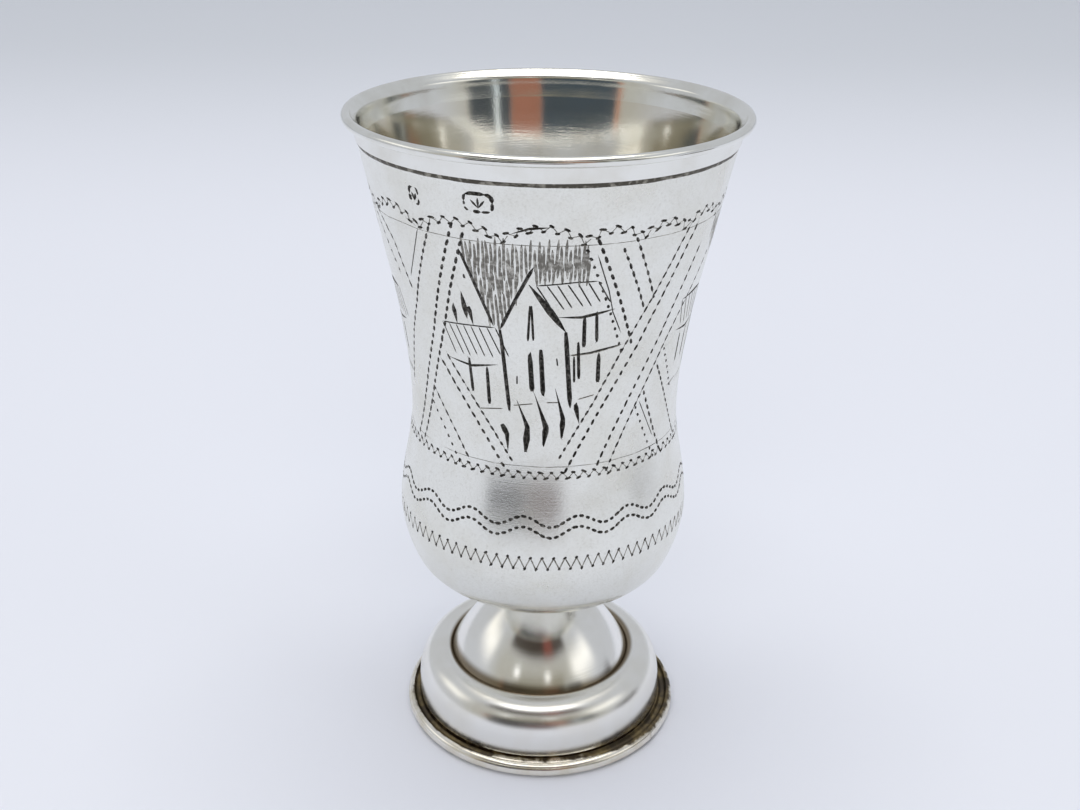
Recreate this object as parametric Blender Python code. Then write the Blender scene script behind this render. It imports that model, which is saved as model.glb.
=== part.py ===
"""A small footed silver beaker: a thin bowl with a moulded lip, on a hollow stepped foot.

The cup stands on the origin with its axis along +Z. Sizes are in millimetres and are turned
into Blender's metres in one place, where a section is spun into a mesh. The engraving is
shallower than the wall's facets and is left to the finished surface.
"""

import math

import bmesh
import bpy

MILLIMETRE = 0.001
SEGMENTS = 48
SOLDER_GAP = 0.3

# Base ring: a flat ring with a rounded outer edge and a shallow channel around the foot. It
# stands out past the foot's skirt and reaches in under the foot's wall.
BASE_OVERHANG = 2.0
BASE_LEDGE = 1.2
BASE_HEIGHT = 2.0
EDGE_ROUND_BELOW = 1.4
EDGE_ROUND_ABOVE = 0.8
CHANNEL_WIDTH = 1.1
CHANNEL_DEPTH = 0.45
EDGE_STEPS = 3

# Foot: a spun shell with an upright skirt, a rounded shoulder, a crease and a domed top.
FOOT_WALL = 0.6
SKIRT_RADIUS = 17.0
SKIRT_HEIGHT = 2.2
SHOULDER_RISE = 4.7
SHOULDER_WIDTH = 3.4
SHOULDER_STEPS = 6
CREASE_WIDTH = 1.2
CREASE_DROP = 0.45
DOME_RISE = 8.65
DOME_BULGE = 0.6
DOME_STEPS = 6
COLLAR_RADIUS = 4.8
COLLAR_STEP_WIDTH = 0.4
COLLAR_STEP_HEIGHT = 0.3
COLLAR_HEIGHT = 0.3
FOOT_SIDE_SHIFT = -0.2

# Bowl: the radius at each station of its outline, and the rise from the station below.
BOWL_WALL = 0.6
UNDERSIDE_RADIUS = 14.0
UNDERSIDE_RISE = 4.6
TURN_RADIUS = 17.2
TURN_RISE = 3.1
BELLY_RADIUS = 18.95
BELLY_RISE = 7.4
WAIST_RADIUS = 17.15
WAIST_RISE = 13.4
LOWER_FLARE_RADIUS = 18.1
LOWER_FLARE_RISE = 11.9
UPPER_FLARE_RADIUS = 20.3
UPPER_FLARE_RISE = 11.3
MOUTH_RADIUS = 22.75
MOUTH_RISE = 11.6
STATION_STEPS = 3

# Lip: a drawn moulding on the bowl's edge, a flat band below a round bead.
BAND_OVERHANG = 0.25
BAND_HEIGHT = 1.9
BAND_FLARE = 0.35
BEAD_RADIUS = 0.6
BEAD_OVERHANG = 0.55
BEAD_START_ANGLE = -120.0
BEAD_STEPS = 10
LIP_THROAT_HEIGHT = 2.2


def smooth_line(points: list, steps: int) -> list:
    """Return a Catmull-Rom curve through (radius, height) points, with steps spans between two.

    Args:
        points: The stations that the curve passes through, in order.
        steps: The number of straight spans from one station to the next.
    """
    ends = [mirrored(points[1], points[0])] + points + [mirrored(points[-2], points[-1])]
    curve = []
    for before, start, end, after in zip(ends, ends[1:], ends[2:], ends[3:]):
        for step in range(steps):
            curve.append(catmull_rom(before, start, end, after, step / steps))
    return curve + [points[-1]]


def mirrored(point: tuple, centre: tuple) -> tuple:
    """Return the point on the far side of centre."""
    return (2 * centre[0] - point[0], 2 * centre[1] - point[1])


def catmull_rom(before: tuple, start: tuple, end: tuple, after: tuple, share: float) -> tuple:
    """Return the point at share of the way from start to end.

    Each tangent is the slope between a station's two neighbours, scaled to the span's own
    length, so that a short span beside a long one doesn't loop.
    """
    span = math.dist(start, end)
    leave = span / (math.dist(before, start) + span)
    arrive = span / (math.dist(end, after) + span)
    square, cube = share ** 2, share ** 3
    weights = (2 * cube - 3 * square + 1, 3 * square - 2 * cube,
               (cube - 2 * square + share) * leave, (cube - square) * arrive)
    return tuple(
        weights[0] * s + weights[1] * e + weights[2] * (e - b) + weights[3] * (a - s)
        for b, s, e, a in zip(before, start, end, after)
    )


def inset(outline: list, wall: float) -> list:
    """Return the outline moved by the wall's thickness towards its left-hand side."""
    moved = []
    for index, (radius, height) in enumerate(outline):
        before = outline[max(index - 1, 0)]
        after = outline[min(index + 1, len(outline) - 1)]
        length = math.dist(before, after)
        moved.append((
            radius - wall * (after[1] - before[1]) / length,
            height + wall * (after[0] - before[0]) / length,
        ))
    return moved


def ellipse_arc(centre: tuple, width: float, height: float, start: float, end: float, steps: int) -> list:
    """Return points on an ellipse from the angle start to the angle end, in degrees."""
    angles = [math.radians(start + (end - start) * step / steps) for step in range(steps + 1)]
    return [(centre[0] + width * math.cos(a), centre[1] + height * math.sin(a)) for a in angles]


def bulged_line(start: tuple, end: tuple, bulge: float, steps: int) -> list:
    """Return a parabola from start to end that stands out to its right-hand side by bulge."""
    length = math.dist(start, end)
    across = ((end[1] - start[1]) / length, (start[0] - end[0]) / length)
    points = []
    for step in range(steps + 1):
        share = step / steps
        rise = 4 * bulge * share * (1 - share)
        points.append(tuple(s + (e - s) * share + rise * a for s, e, a in zip(start, end, across)))
    return points


def silver(name: str, color: tuple, roughness: float) -> bpy.types.Material:
    """Return a plain metal material."""
    material = bpy.data.materials.new(name)
    material.use_nodes = True
    shader = material.node_tree.nodes["Principled BSDF"]
    shader.inputs["Base Color"].default_value = (*color, 1.0)
    shader.inputs["Metallic"].default_value = 1.0
    shader.inputs["Roughness"].default_value = roughness
    return material


def turned(name: str, section: list, material: bpy.types.Material, side_shift: float = 0.0) -> None:
    """Spin a closed section about the axis and link the solid as one object.

    Args:
        name: The object's name.
        section: The section's (radius, height) corners in millimetres, in order around it.
        material: The object's material.
        side_shift: How far the solid sits off the axis towards +X, in millimetres.
    """
    solid = bmesh.new()
    corners = [solid.verts.new((radius * MILLIMETRE, 0, height * MILLIMETRE)) for radius, height in section]
    closed = section + section[:1]
    edges = []
    for index, (start, end) in enumerate(zip(closed, closed[1:])):
        on_axis = start[0] == 0 and end[0] == 0
        if not on_axis:
            edges.append(solid.edges.new((corners[index], corners[(index + 1) % len(corners)])))
    bmesh.ops.spin(solid, geom=corners + edges, cent=(0, 0, 0), axis=(0, 0, 1),
                   angle=math.tau, steps=SEGMENTS, use_merge=True)
    bmesh.ops.remove_doubles(solid, verts=solid.verts, dist=0.001 * MILLIMETRE)
    bmesh.ops.recalc_face_normals(solid, faces=solid.faces)
    mesh = bpy.data.meshes.new(name)
    solid.to_mesh(mesh)
    solid.free()
    mesh.materials.append(material)
    mesh.shade_smooth()
    mesh.set_sharp_from_angle(angle=math.radians(35))
    piece = bpy.data.objects.new(name, mesh)
    piece.location.x = side_shift * MILLIMETRE
    bpy.context.collection.objects.link(piece)


def base_ring_section() -> list:
    """Return the base ring: flat below, rounded outside, with a channel along its top."""
    outer_radius = SKIRT_RADIUS + BASE_OVERHANG
    opening_radius = SKIRT_RADIUS - FOOT_WALL - BASE_LEDGE
    half = BASE_HEIGHT / 2
    foot_edge = (outer_radius - EDGE_ROUND_BELOW, half)
    top_edge = (outer_radius - EDGE_ROUND_ABOVE, half)
    below = ellipse_arc(foot_edge, EDGE_ROUND_BELOW, half, -90, 0, EDGE_STEPS)
    above = ellipse_arc(top_edge, EDGE_ROUND_ABOVE, half, 0, 90, EDGE_STEPS)
    channel_floor = BASE_HEIGHT - CHANNEL_DEPTH
    channel = [
        (top_edge[0] - CHANNEL_WIDTH / 4, channel_floor),
        (top_edge[0] - CHANNEL_WIDTH * 3 / 4, channel_floor),
        (top_edge[0] - CHANNEL_WIDTH, BASE_HEIGHT),
    ]
    return [(opening_radius, 0)] + below + above[1:] + channel + [(opening_radius, BASE_HEIGHT)]


def foot_outline() -> list:
    """Return the foot's outside, from the skirt's lower edge up to the collar's top edge."""
    skirt_bottom = BASE_HEIGHT + SOLDER_GAP
    shoulder_bottom = skirt_bottom + SKIRT_HEIGHT
    crest_radius = SKIRT_RADIUS - SHOULDER_WIDTH
    crest_height = shoulder_bottom + SHOULDER_RISE
    crease = (crest_radius - CREASE_WIDTH, crest_height - CREASE_DROP)
    dome_top = (COLLAR_RADIUS + COLLAR_STEP_WIDTH, crease[1] + DOME_RISE)
    step_top = dome_top[1] + COLLAR_STEP_HEIGHT
    shoulder_centre = (crest_radius, shoulder_bottom)
    shoulder = ellipse_arc(shoulder_centre, SHOULDER_WIDTH, SHOULDER_RISE, 0, 90, SHOULDER_STEPS)
    dome = bulged_line(crease, dome_top, DOME_BULGE, DOME_STEPS)
    collar = [(COLLAR_RADIUS, step_top), (COLLAR_RADIUS, step_top + COLLAR_HEIGHT)]
    return [(SKIRT_RADIUS, skirt_bottom)] + shoulder + dome + collar


def foot_section() -> list:
    """Return the foot's shell, closed on top and open below."""
    outside = foot_outline()
    inside = inset(outside[:-2], FOOT_WALL)
    inside[0] = (inside[0][0], outside[0][1])
    ceiling = outside[-1][1] - FOOT_WALL
    inside.append((COLLAR_RADIUS - FOOT_WALL, ceiling))
    return outside + [(0, outside[-1][1]), (0, ceiling)] + inside[::-1]


def bowl_bottom() -> float:
    """Return the height of the bowl's flat bottom, just above the foot's collar."""
    return foot_outline()[-1][1] + SOLDER_GAP


def bowl_outline() -> list:
    """Return the bowl's outside, from the edge of its flat bottom up to its mouth."""
    shape = [
        (UNDERSIDE_RADIUS, UNDERSIDE_RISE),
        (TURN_RADIUS, TURN_RISE),
        (BELLY_RADIUS, BELLY_RISE),
        (WAIST_RADIUS, WAIST_RISE),
        (LOWER_FLARE_RADIUS, LOWER_FLARE_RISE),
        (UPPER_FLARE_RADIUS, UPPER_FLARE_RISE),
        (MOUTH_RADIUS, MOUTH_RISE),
    ]
    stations = [(COLLAR_RADIUS, bowl_bottom())]
    for radius, rise in shape:
        stations.append((radius, stations[-1][1] + rise))
    return smooth_line(stations, STATION_STEPS)


def bowl_section() -> list:
    """Return the bowl's wall: hollow inside, with a flat bottom and a flat upper edge."""
    outside = bowl_outline()
    inside = inset(outside, BOWL_WALL)
    inside[-1] = (inside[-1][0], outside[-1][1])
    floor = outside[0][1] + BOWL_WALL
    inside[0] = (inside[0][0], floor)
    return [(0, outside[0][1])] + outside + inside[::-1] + [(0, floor)]


def lip_section() -> list:
    """Return the lip's moulding: band outside, bead on top and a throat flaring into the bowl."""
    mouth = bowl_outline()[-1]
    bottom = mouth[1] + SOLDER_GAP
    band_bottom = mouth[0] + BAND_OVERHANG
    band_top = band_bottom + BAND_FLARE
    bead_centre = (band_top + BEAD_OVERHANG, bottom + BAND_HEIGHT + BEAD_RADIUS)
    bead = ellipse_arc(bead_centre, BEAD_RADIUS, BEAD_RADIUS, BEAD_START_ANGLE, 180, BEAD_STEPS)
    throat = (bead[-1][0] - BEAD_RADIUS, bottom + LIP_THROAT_HEIGHT)
    inner_edge = mouth[0] - BOWL_WALL
    return [(inner_edge, bottom), (band_bottom, bottom), (band_top, bottom + BAND_HEIGHT)] + bead + [throat]


def main() -> None:
    """Clear the file and build the cup's four pieces."""
    for leftover in list(bpy.data.objects):
        bpy.data.objects.remove(leftover)
    satin = silver("satin silver", (0.83, 0.83, 0.82), 0.32)
    polished = silver("polished silver", (0.88, 0.87, 0.83), 0.12)
    lip_silver = silver("lip silver", (0.86, 0.86, 0.84), 0.22)
    tarnished = silver("tarnished silver", (0.66, 0.62, 0.52), 0.35)
    turned("base_ring", base_ring_section(), tarnished)
    turned("foot", foot_section(), polished, FOOT_SIDE_SHIFT)
    turned("bowl", bowl_section(), satin)
    turned("lip_ring", lip_section(), lip_silver)


main()
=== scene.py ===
"""A small engraved silver kiddush cup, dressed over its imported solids.

The bowl, its lip moulding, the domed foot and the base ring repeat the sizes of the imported
solids, in millimetres, and are turned finer than they are. The traditional village panels,
ribbons and zigzag borders are cut into the bowl's wall as shallow grooves.
"""

import logging
import math
import random
from dataclasses import dataclass, field, replace
from enum import Enum

import bmesh
import bpy
from mathutils import Matrix, Vector, geometry

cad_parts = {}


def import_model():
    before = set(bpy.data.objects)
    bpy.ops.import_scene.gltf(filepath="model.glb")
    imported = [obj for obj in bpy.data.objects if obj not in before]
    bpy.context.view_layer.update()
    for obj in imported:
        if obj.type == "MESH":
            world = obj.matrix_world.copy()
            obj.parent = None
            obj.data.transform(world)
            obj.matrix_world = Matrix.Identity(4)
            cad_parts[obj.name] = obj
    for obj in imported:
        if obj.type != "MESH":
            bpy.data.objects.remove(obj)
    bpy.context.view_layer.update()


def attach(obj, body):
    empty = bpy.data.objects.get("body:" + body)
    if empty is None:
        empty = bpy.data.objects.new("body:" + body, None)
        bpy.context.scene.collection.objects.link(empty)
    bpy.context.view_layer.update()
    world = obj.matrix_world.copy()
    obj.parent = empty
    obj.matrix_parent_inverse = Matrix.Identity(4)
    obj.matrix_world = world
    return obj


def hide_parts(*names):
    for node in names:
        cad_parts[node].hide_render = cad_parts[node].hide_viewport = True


MILLIMETRE = 0.001
LOG = logging.getLogger("kiddush_cup")

Point = tuple[float, float]
Line = tuple[Point, ...]


def add(tree: bpy.types.NodeTree, kind: str, inputs: dict | None = None, **settings) -> bpy.types.Node:
    """Add one node to a tree.

    Args:
        tree: The tree that takes the node.
        kind: The node's type name.
        inputs: Values or other nodes' outputs by input name or number.
        **settings: The node's own properties.

    Returns:
        The new node.
    """
    node = tree.nodes.new(kind)
    for name, value in settings.items():
        setattr(node, name, value)
    for key, value in (inputs or {}).items():
        if isinstance(value, bpy.types.NodeSocket):
            tree.links.new(value, node.inputs[key])
        else:
            node.inputs[key].default_value = value
    return node


def linear(hex_colour: str) -> tuple[float, float, float, float]:
    """Turn an sRGB colour such as "#C0C0C0" into linear red, green, blue and alpha."""
    channels = [int(hex_colour[start:start + 2], 16) / 255 for start in (1, 3, 5)]
    straight = [c / 12.92 if c <= 0.04045 else ((c + 0.055) / 1.055) ** 2.4 for c in channels]
    return (straight[0], straight[1], straight[2], 1.0)


def mirrored(point: Point, centre: Point) -> Point:
    """Return the point on the far side of centre."""
    return (2 * centre[0] - point[0], 2 * centre[1] - point[1])


def catmull_rom(before: Point, start: Point, end: Point, after: Point, share: float) -> Point:
    """Return the point at share of the way along a span of a smooth line.

    Args:
        before: The station ahead of the span.
        start: The station where the span begins.
        end: The station where the span ends.
        after: The station behind the span.
        share: How far along the span the point lies, from 0 to 1.

    Returns:
        The point as radius and height.
    """
    span = math.dist(start, end)
    leave = span / (math.dist(before, start) + span)
    arrive = span / (math.dist(end, after) + span)
    square, cube = share ** 2, share ** 3
    weights = (2 * cube - 3 * square + 1, 3 * square - 2 * cube,
               (cube - 2 * square + share) * leave, (cube - square) * arrive)
    radius, height = (
        weights[0] * s + weights[1] * e + weights[2] * (e - b) + weights[3] * (a - s)
        for b, s, e, a in zip(before, start, end, after)
    )
    return (radius, height)


def smooth_line(points: list[Point], steps: int) -> list[Point]:
    """Return a smooth curve through points, with steps spans between two of them."""
    ends = [mirrored(points[1], points[0])] + points + [mirrored(points[-2], points[-1])]
    curve = []
    for before, start, end, after in zip(ends, ends[1:], ends[2:], ends[3:]):
        for step in range(steps):
            curve.append(catmull_rom(before, start, end, after, step / steps))
    return curve + [points[-1]]


def inset(outline: list[Point], wall: float) -> list[Point]:
    """Return the outline moved by the wall's thickness towards its left-hand side."""
    moved = []
    for index, (radius, height) in enumerate(outline):
        before = outline[max(index - 1, 0)]
        after = outline[min(index + 1, len(outline) - 1)]
        length = math.dist(before, after)
        moved.append((
            radius - wall * (after[1] - before[1]) / length,
            height + wall * (after[0] - before[0]) / length,
        ))
    return moved


def ellipse_arc(centre: Point, width: float, height: float, start: float, end: float,
                steps: int) -> list[Point]:
    """Return points on an ellipse from the angle start to the angle end, in degrees."""
    angles = [math.radians(start + (end - start) * step / steps) for step in range(steps + 1)]
    return [(centre[0] + width * math.cos(a), centre[1] + height * math.sin(a)) for a in angles]


def bulged_line(start: Point, end: Point, bulge: float, steps: int) -> list[Point]:
    """Return a parabola from start to end that stands out to its right-hand side by bulge."""
    length = math.dist(start, end)
    across = ((end[1] - start[1]) / length, (start[0] - end[0]) / length)
    points = []
    for step in range(steps + 1):
        share = step / steps
        rise = 4 * bulge * share * (1 - share)
        points.append((start[0] + (end[0] - start[0]) * share + rise * across[0],
                       start[1] + (end[1] - start[1]) * share + rise * across[1]))
    return points


class Slot(Enum):
    """The record's material slots."""

    SATIN = "satin_silver"
    LIP = "lip_silver"
    POLISHED = "polished_silver"
    TARNISHED = "tarnished_silver"


def millimetre_grain(size: float) -> float:
    """Return a noise scale that gives features of a size in millimetres on Object coordinates."""
    return 1 / (size * MILLIMETRE)


@dataclass(frozen=True)
class SilverFinish:
    """Spun and burnished silver, which mirrors the room softly through its fine marks.

    Lathe marks run around the piece, a fine grain breaks up its highlights, and a thin warm
    tarnish clouds it and sits in small pits, so that it reads as old metal and not as chrome.
    """

    name: str
    colour: str
    cloud_colour: str
    cloud_share: float
    cloud_size: float
    roughness: float
    roughness_spread: float
    grain_size: float = 0.25
    grain_depth: float = 0.004
    lathe_mark: float = 0.12
    lathe_depth: float = 0.003
    dent_size: float = 7.0
    dent_depth: float = 0.03
    pit_colour: str = "#8C877B"
    pit_size: float = 0.45
    pit_share: float = 0.0

    def material(self) -> bpy.types.Material:
        """Build the material and return it."""
        material = bpy.data.materials.new(self.name)
        material.use_nodes = True
        tree = material.node_tree
        shader = tree.nodes["Principled BSDF"]
        place = add(tree, "ShaderNodeTexCoord").outputs["Object"]
        clouds = add(tree, "ShaderNodeTexNoise", {
            "Vector": place, "Scale": millimetre_grain(self.cloud_size), "Detail": 4.0, "Roughness": 0.6})
        share = add(tree, "ShaderNodeMapRange", {
            "Value": clouds.outputs[0], "From Min": 0.42, "From Max": 0.72, "To Max": self.cloud_share})
        colour = add(tree, "ShaderNodeMix", {
            0: share.outputs[0], 6: linear(self.colour), 7: linear(self.cloud_colour)}, data_type="RGBA")
        specks = add(tree, "ShaderNodeTexNoise", {
            "Vector": place, "Scale": millimetre_grain(self.pit_size), "Detail": 3.0, "Roughness": 0.7})
        pits = add(tree, "ShaderNodeMapRange", {
            "Value": specks.outputs[0], "From Min": 0.5, "From Max": 0.72, "To Max": self.pit_share})
        pitted = add(tree, "ShaderNodeMix", {
            0: pits.outputs[0], 6: colour.outputs[2], 7: linear(self.pit_colour)}, data_type="RGBA")
        colour_out, roughness_out = self.worn(tree, place, pitted.outputs[2], clouds.outputs[0])
        tree.links.new(colour_out, shader.inputs["Base Color"])
        tree.links.new(roughness_out, shader.inputs["Roughness"])
        shader.inputs["Metallic"].default_value = 1.0
        tree.links.new(self.relief(tree, place), shader.inputs["Normal"])
        return material

    def worn(self, tree: bpy.types.NodeTree, place: bpy.types.NodeSocket, colour: bpy.types.NodeSocket,
             clouds: bpy.types.NodeSocket) -> tuple[bpy.types.NodeSocket, bpy.types.NodeSocket]:
        """Return the finish's colour and roughness, which a worn finish changes by place."""
        roughness = add(tree, "ShaderNodeMapRange", {
            "Value": clouds, "From Min": 0.3, "From Max": 0.7,
            "To Min": self.roughness - self.roughness_spread,
            "To Max": self.roughness + self.roughness_spread})
        return colour, roughness.outputs[0]

    def relief(self, tree: bpy.types.NodeTree, place: bpy.types.NodeSocket) -> bpy.types.NodeSocket:
        """Return the normal with dents, lathe marks and grain, each at its depth in millimetres."""
        dents = add(tree, "ShaderNodeTexNoise", {
            "Vector": place, "Scale": millimetre_grain(self.dent_size), "Detail": 1.0})
        around = add(tree, "ShaderNodeMapping", {
            "Vector": place, "Scale": (60.0, 60.0, millimetre_grain(self.lathe_mark))})
        marks = add(tree, "ShaderNodeTexNoise", {"Vector": around.outputs[0], "Scale": 1.0, "Detail": 2.0})
        grain = add(tree, "ShaderNodeTexNoise", {
            "Vector": place, "Scale": millimetre_grain(self.grain_size), "Detail": 2.0})
        normal = None
        for height, depth in ((dents, self.dent_depth), (marks, self.lathe_depth), (grain, self.grain_depth)):
            bump = add(tree, "ShaderNodeBump", {"Height": height.outputs[0], "Distance": depth * MILLIMETRE})
            if normal:
                tree.links.new(normal, bump.inputs["Normal"])
            normal = bump.outputs[0]
        return normal


@dataclass(frozen=True)
class CreasedSilver(SilverFinish):
    """The foot's silver: a mirror on the dome, brighter than the shoulder, and brown in the crease, partly
    tarnish and partly painted shade.
    """

    crease_radius: float = 12.4
    crease_spread: float = 0.5
    # Brown of the crease: partly tarnish, partly painted shade where the crease darkens the foot of the dome.
    crease_tarnish_and_shade_colour: str = "#6E5A34"
    shoulder_roughness: float = 0.24

    def worn(self, tree: bpy.types.NodeTree, place: bpy.types.NodeSocket, colour: bpy.types.NodeSocket,
             clouds: bpy.types.NodeSocket) -> tuple[bpy.types.NodeSocket, bpy.types.NodeSocket]:
        """Return the colour with brown in the crease, partly tarnish and partly painted shade, and the
        shoulder's satin outside it.
        """
        flat = add(tree, "ShaderNodeVectorMath", {0: place, 1: (1.0, 1.0, 0.0)}, operation="MULTIPLY")
        radius = add(tree, "ShaderNodeVectorMath", {0: flat.outputs[0]}, operation="LENGTH")
        outside = add(tree, "ShaderNodeMapRange", {
            "Value": radius.outputs["Value"],
            "From Min": (self.crease_radius - self.crease_spread) * MILLIMETRE,
            "From Max": (self.crease_radius + self.crease_spread) * MILLIMETRE,
            "To Min": self.roughness, "To Max": self.shoulder_roughness})
        away = add(tree, "ShaderNodeMath", {
            0: radius.outputs["Value"], 1: self.crease_radius * MILLIMETRE}, operation="SUBTRACT")
        distance = add(tree, "ShaderNodeMath", {0: away.outputs[0]}, operation="ABSOLUTE")
        # Painted shade mixed with tarnish: brown strongest at the crease, fading out within about 0.8 mm of
        # it.
        brown = add(tree, "ShaderNodeMapRange", {
            "Value": distance.outputs[0], "From Min": self.crease_spread * MILLIMETRE * 0.4,
            "From Max": self.crease_spread * MILLIMETRE * 1.6, "To Min": 0.85, "To Max": 0.0},
            interpolation_type="SMOOTHSTEP")
        mix = add(tree, "ShaderNodeMix", {
            0: brown.outputs[0], 6: colour, 7: linear(self.crease_tarnish_and_shade_colour)}, data_type="RGBA")
        return mix.outputs[2], outside.outputs[0]


@dataclass(frozen=True)
class ChannelSilver(SilverFinish):
    """The base ring's silver, with brown tarnish caked in the channel, which the front has mostly lost."""

    front_edge: float = 17.25
    side_edge: float = 18.2
    clean_angle: float = 26.0
    clean_spread: float = 9.0
    right_extra: float = 0.5
    tarnish_colour: str = "#786844"
    caked_colour: str = "#3D3222"
    rim_softness: float = 0.22

    def worn(self, tree: bpy.types.NodeTree, place: bpy.types.NodeSocket, colour: bpy.types.NodeSocket,
             clouds: bpy.types.NodeSocket) -> tuple[bpy.types.NodeSocket, bpy.types.NodeSocket]:
        """Return the colour and roughness with brown inside the channel's broken edge."""
        ragged = add(tree, "ShaderNodeTexNoise", {
            "Vector": place, "Scale": millimetre_grain(2.4), "Detail": 4.0, "Roughness": 0.65})
        brown = add(tree, "ShaderNodeMapRange", {
            "Value": self.distance_in(tree, place, ragged.outputs[0]),
            "From Min": -self.rim_softness * MILLIMETRE,
            "From Max": self.rim_softness * MILLIMETRE, "To Min": 0.95, "To Max": 0.0},
            interpolation_type="SMOOTHSTEP")
        caked = add(tree, "ShaderNodeMapRange", {
            "Value": ragged.outputs[0], "From Min": 0.42, "From Max": 0.6})
        tarnish = add(tree, "ShaderNodeMix", {
            0: caked.outputs[0], 6: linear(self.caked_colour), 7: linear(self.tarnish_colour)},
            data_type="RGBA")
        mix = add(tree, "ShaderNodeMix", {
            0: brown.outputs[0], 6: colour, 7: tarnish.outputs[2]}, data_type="RGBA")
        dull = add(tree, "ShaderNodeMapRange", {
            "Value": brown.outputs[0], "To Min": self.roughness, "To Max": 0.5})
        return mix.outputs[2], dull.outputs[0]

    def distance_in(self, tree: bpy.types.NodeTree, place: bpy.types.NodeSocket,
                    ragged: bpy.types.NodeSocket) -> bpy.types.NodeSocket:
        """Return how far outside the tarnish's broken edge a point lies."""
        spot = add(tree, "ShaderNodeSeparateXYZ", {0: place})
        toward = add(tree, "ShaderNodeMath", {0: spot.outputs["Y"], 1: -1.0}, operation="MULTIPLY")
        azimuth = add(tree, "ShaderNodeMath", {
            0: spot.outputs["X"], 1: toward.outputs[0]}, operation="ARCTAN2")
        away = add(tree, "ShaderNodeMath", {0: azimuth.outputs[0]}, operation="ABSOLUTE")
        edge = add(tree, "ShaderNodeMapRange", {
            "Value": away.outputs[0], "From Min": math.radians(self.clean_angle - self.clean_spread),
            "From Max": math.radians(self.clean_angle + self.clean_spread),
            "To Min": self.front_edge * MILLIMETRE, "To Max": self.side_edge * MILLIMETRE},
            interpolation_type="SMOOTHSTEP")
        right = add(tree, "ShaderNodeMapRange", {
            "Value": azimuth.outputs[0], "From Min": math.radians(self.clean_angle),
            "From Max": math.radians(self.clean_angle * 2), "To Max": self.right_extra * MILLIMETRE})
        reach = add(tree, "ShaderNodeMath", {0: edge.outputs[0], 1: right.outputs[0]}, operation="ADD")
        flat = add(tree, "ShaderNodeVectorMath", {0: place, 1: (1.0, 1.0, 0.0)}, operation="MULTIPLY")
        radius = add(tree, "ShaderNodeVectorMath", {0: flat.outputs[0]}, operation="LENGTH")
        outside = add(tree, "ShaderNodeMath", {
            0: radius.outputs["Value"], 1: reach.outputs[0]}, operation="SUBTRACT")
        shift = add(tree, "ShaderNodeMapRange", {
            "Value": ragged, "To Min": -0.9 * MILLIMETRE, "To Max": 0.9 * MILLIMETRE})
        moved = add(tree, "ShaderNodeMath", {0: outside.outputs[0], 1: shift.outputs[0]}, operation="ADD")
        return moved.outputs[0]


@dataclass(frozen=True)
class BlackenedCut:
    """Silver sulphide left in engraved cuts: near black, with grey streaks where it is rubbed thin."""

    name: str = "blackened engraving"
    colour: str = "#312F2C"
    rubbed_colour: str = "#85837E"
    streak: float = 0.35
    roughness: float = 0.5
    metallic: float = 0.6

    def material(self) -> bpy.types.Material:
        """Build the material and return it."""
        material = bpy.data.materials.new(self.name)
        material.use_nodes = True
        tree = material.node_tree
        shader = tree.nodes["Principled BSDF"]
        place = add(tree, "ShaderNodeTexCoord").outputs["Object"]
        streaks = add(tree, "ShaderNodeTexNoise", {
            "Vector": place, "Scale": millimetre_grain(self.streak), "Detail": 2.0})
        share = add(tree, "ShaderNodeMapRange", {
            "Value": streaks.outputs[0], "From Min": 0.45, "From Max": 0.75})
        colour = add(tree, "ShaderNodeMix", {
            0: share.outputs[0], 6: linear(self.colour), 7: linear(self.rubbed_colour)}, data_type="RGBA")
        tree.links.new(colour.outputs[2], shader.inputs["Base Color"])
        shader.inputs["Roughness"].default_value = self.roughness
        shader.inputs["Metallic"].default_value = self.metallic
        return material


@dataclass(frozen=True)
class SolderFinish:
    """Old silver solder at a joint, dark brown where dirt has settled, with grey metal showing. At the lip
    and the neck its dark also stands as painted shade under the lip band and under the bowl.
    """

    name: str
    dark_colour: str = "#2E2923"
    metal_colour: str = "#8E897C"
    lump: float = 1.2
    metal_from: float = 0.5
    roughness: float = 0.45

    def material(self) -> bpy.types.Material:
        """Build the material and return it."""
        material = bpy.data.materials.new(self.name)
        material.use_nodes = True
        tree = material.node_tree
        shader = tree.nodes["Principled BSDF"]
        place = add(tree, "ShaderNodeTexCoord").outputs["Object"]
        lumps = add(tree, "ShaderNodeTexNoise", {
            "Vector": place, "Scale": millimetre_grain(self.lump), "Detail": 4.0})
        share = add(tree, "ShaderNodeMapRange", {
            "Value": lumps.outputs[0], "From Min": self.metal_from, "From Max": self.metal_from + 0.15})
        colour = add(tree, "ShaderNodeMix", {
            0: share.outputs[0], 6: linear(self.dark_colour), 7: linear(self.metal_colour)}, data_type="RGBA")
        bump = add(tree, "ShaderNodeBump", {"Height": lumps.outputs[0], "Distance": 0.1 * MILLIMETRE})
        tree.links.new(colour.outputs[2], shader.inputs["Base Color"])
        tree.links.new(bump.outputs[0], shader.inputs["Normal"])
        shader.inputs["Metallic"].default_value = 1.0
        shader.inputs["Roughness"].default_value = self.roughness
        return material


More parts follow.
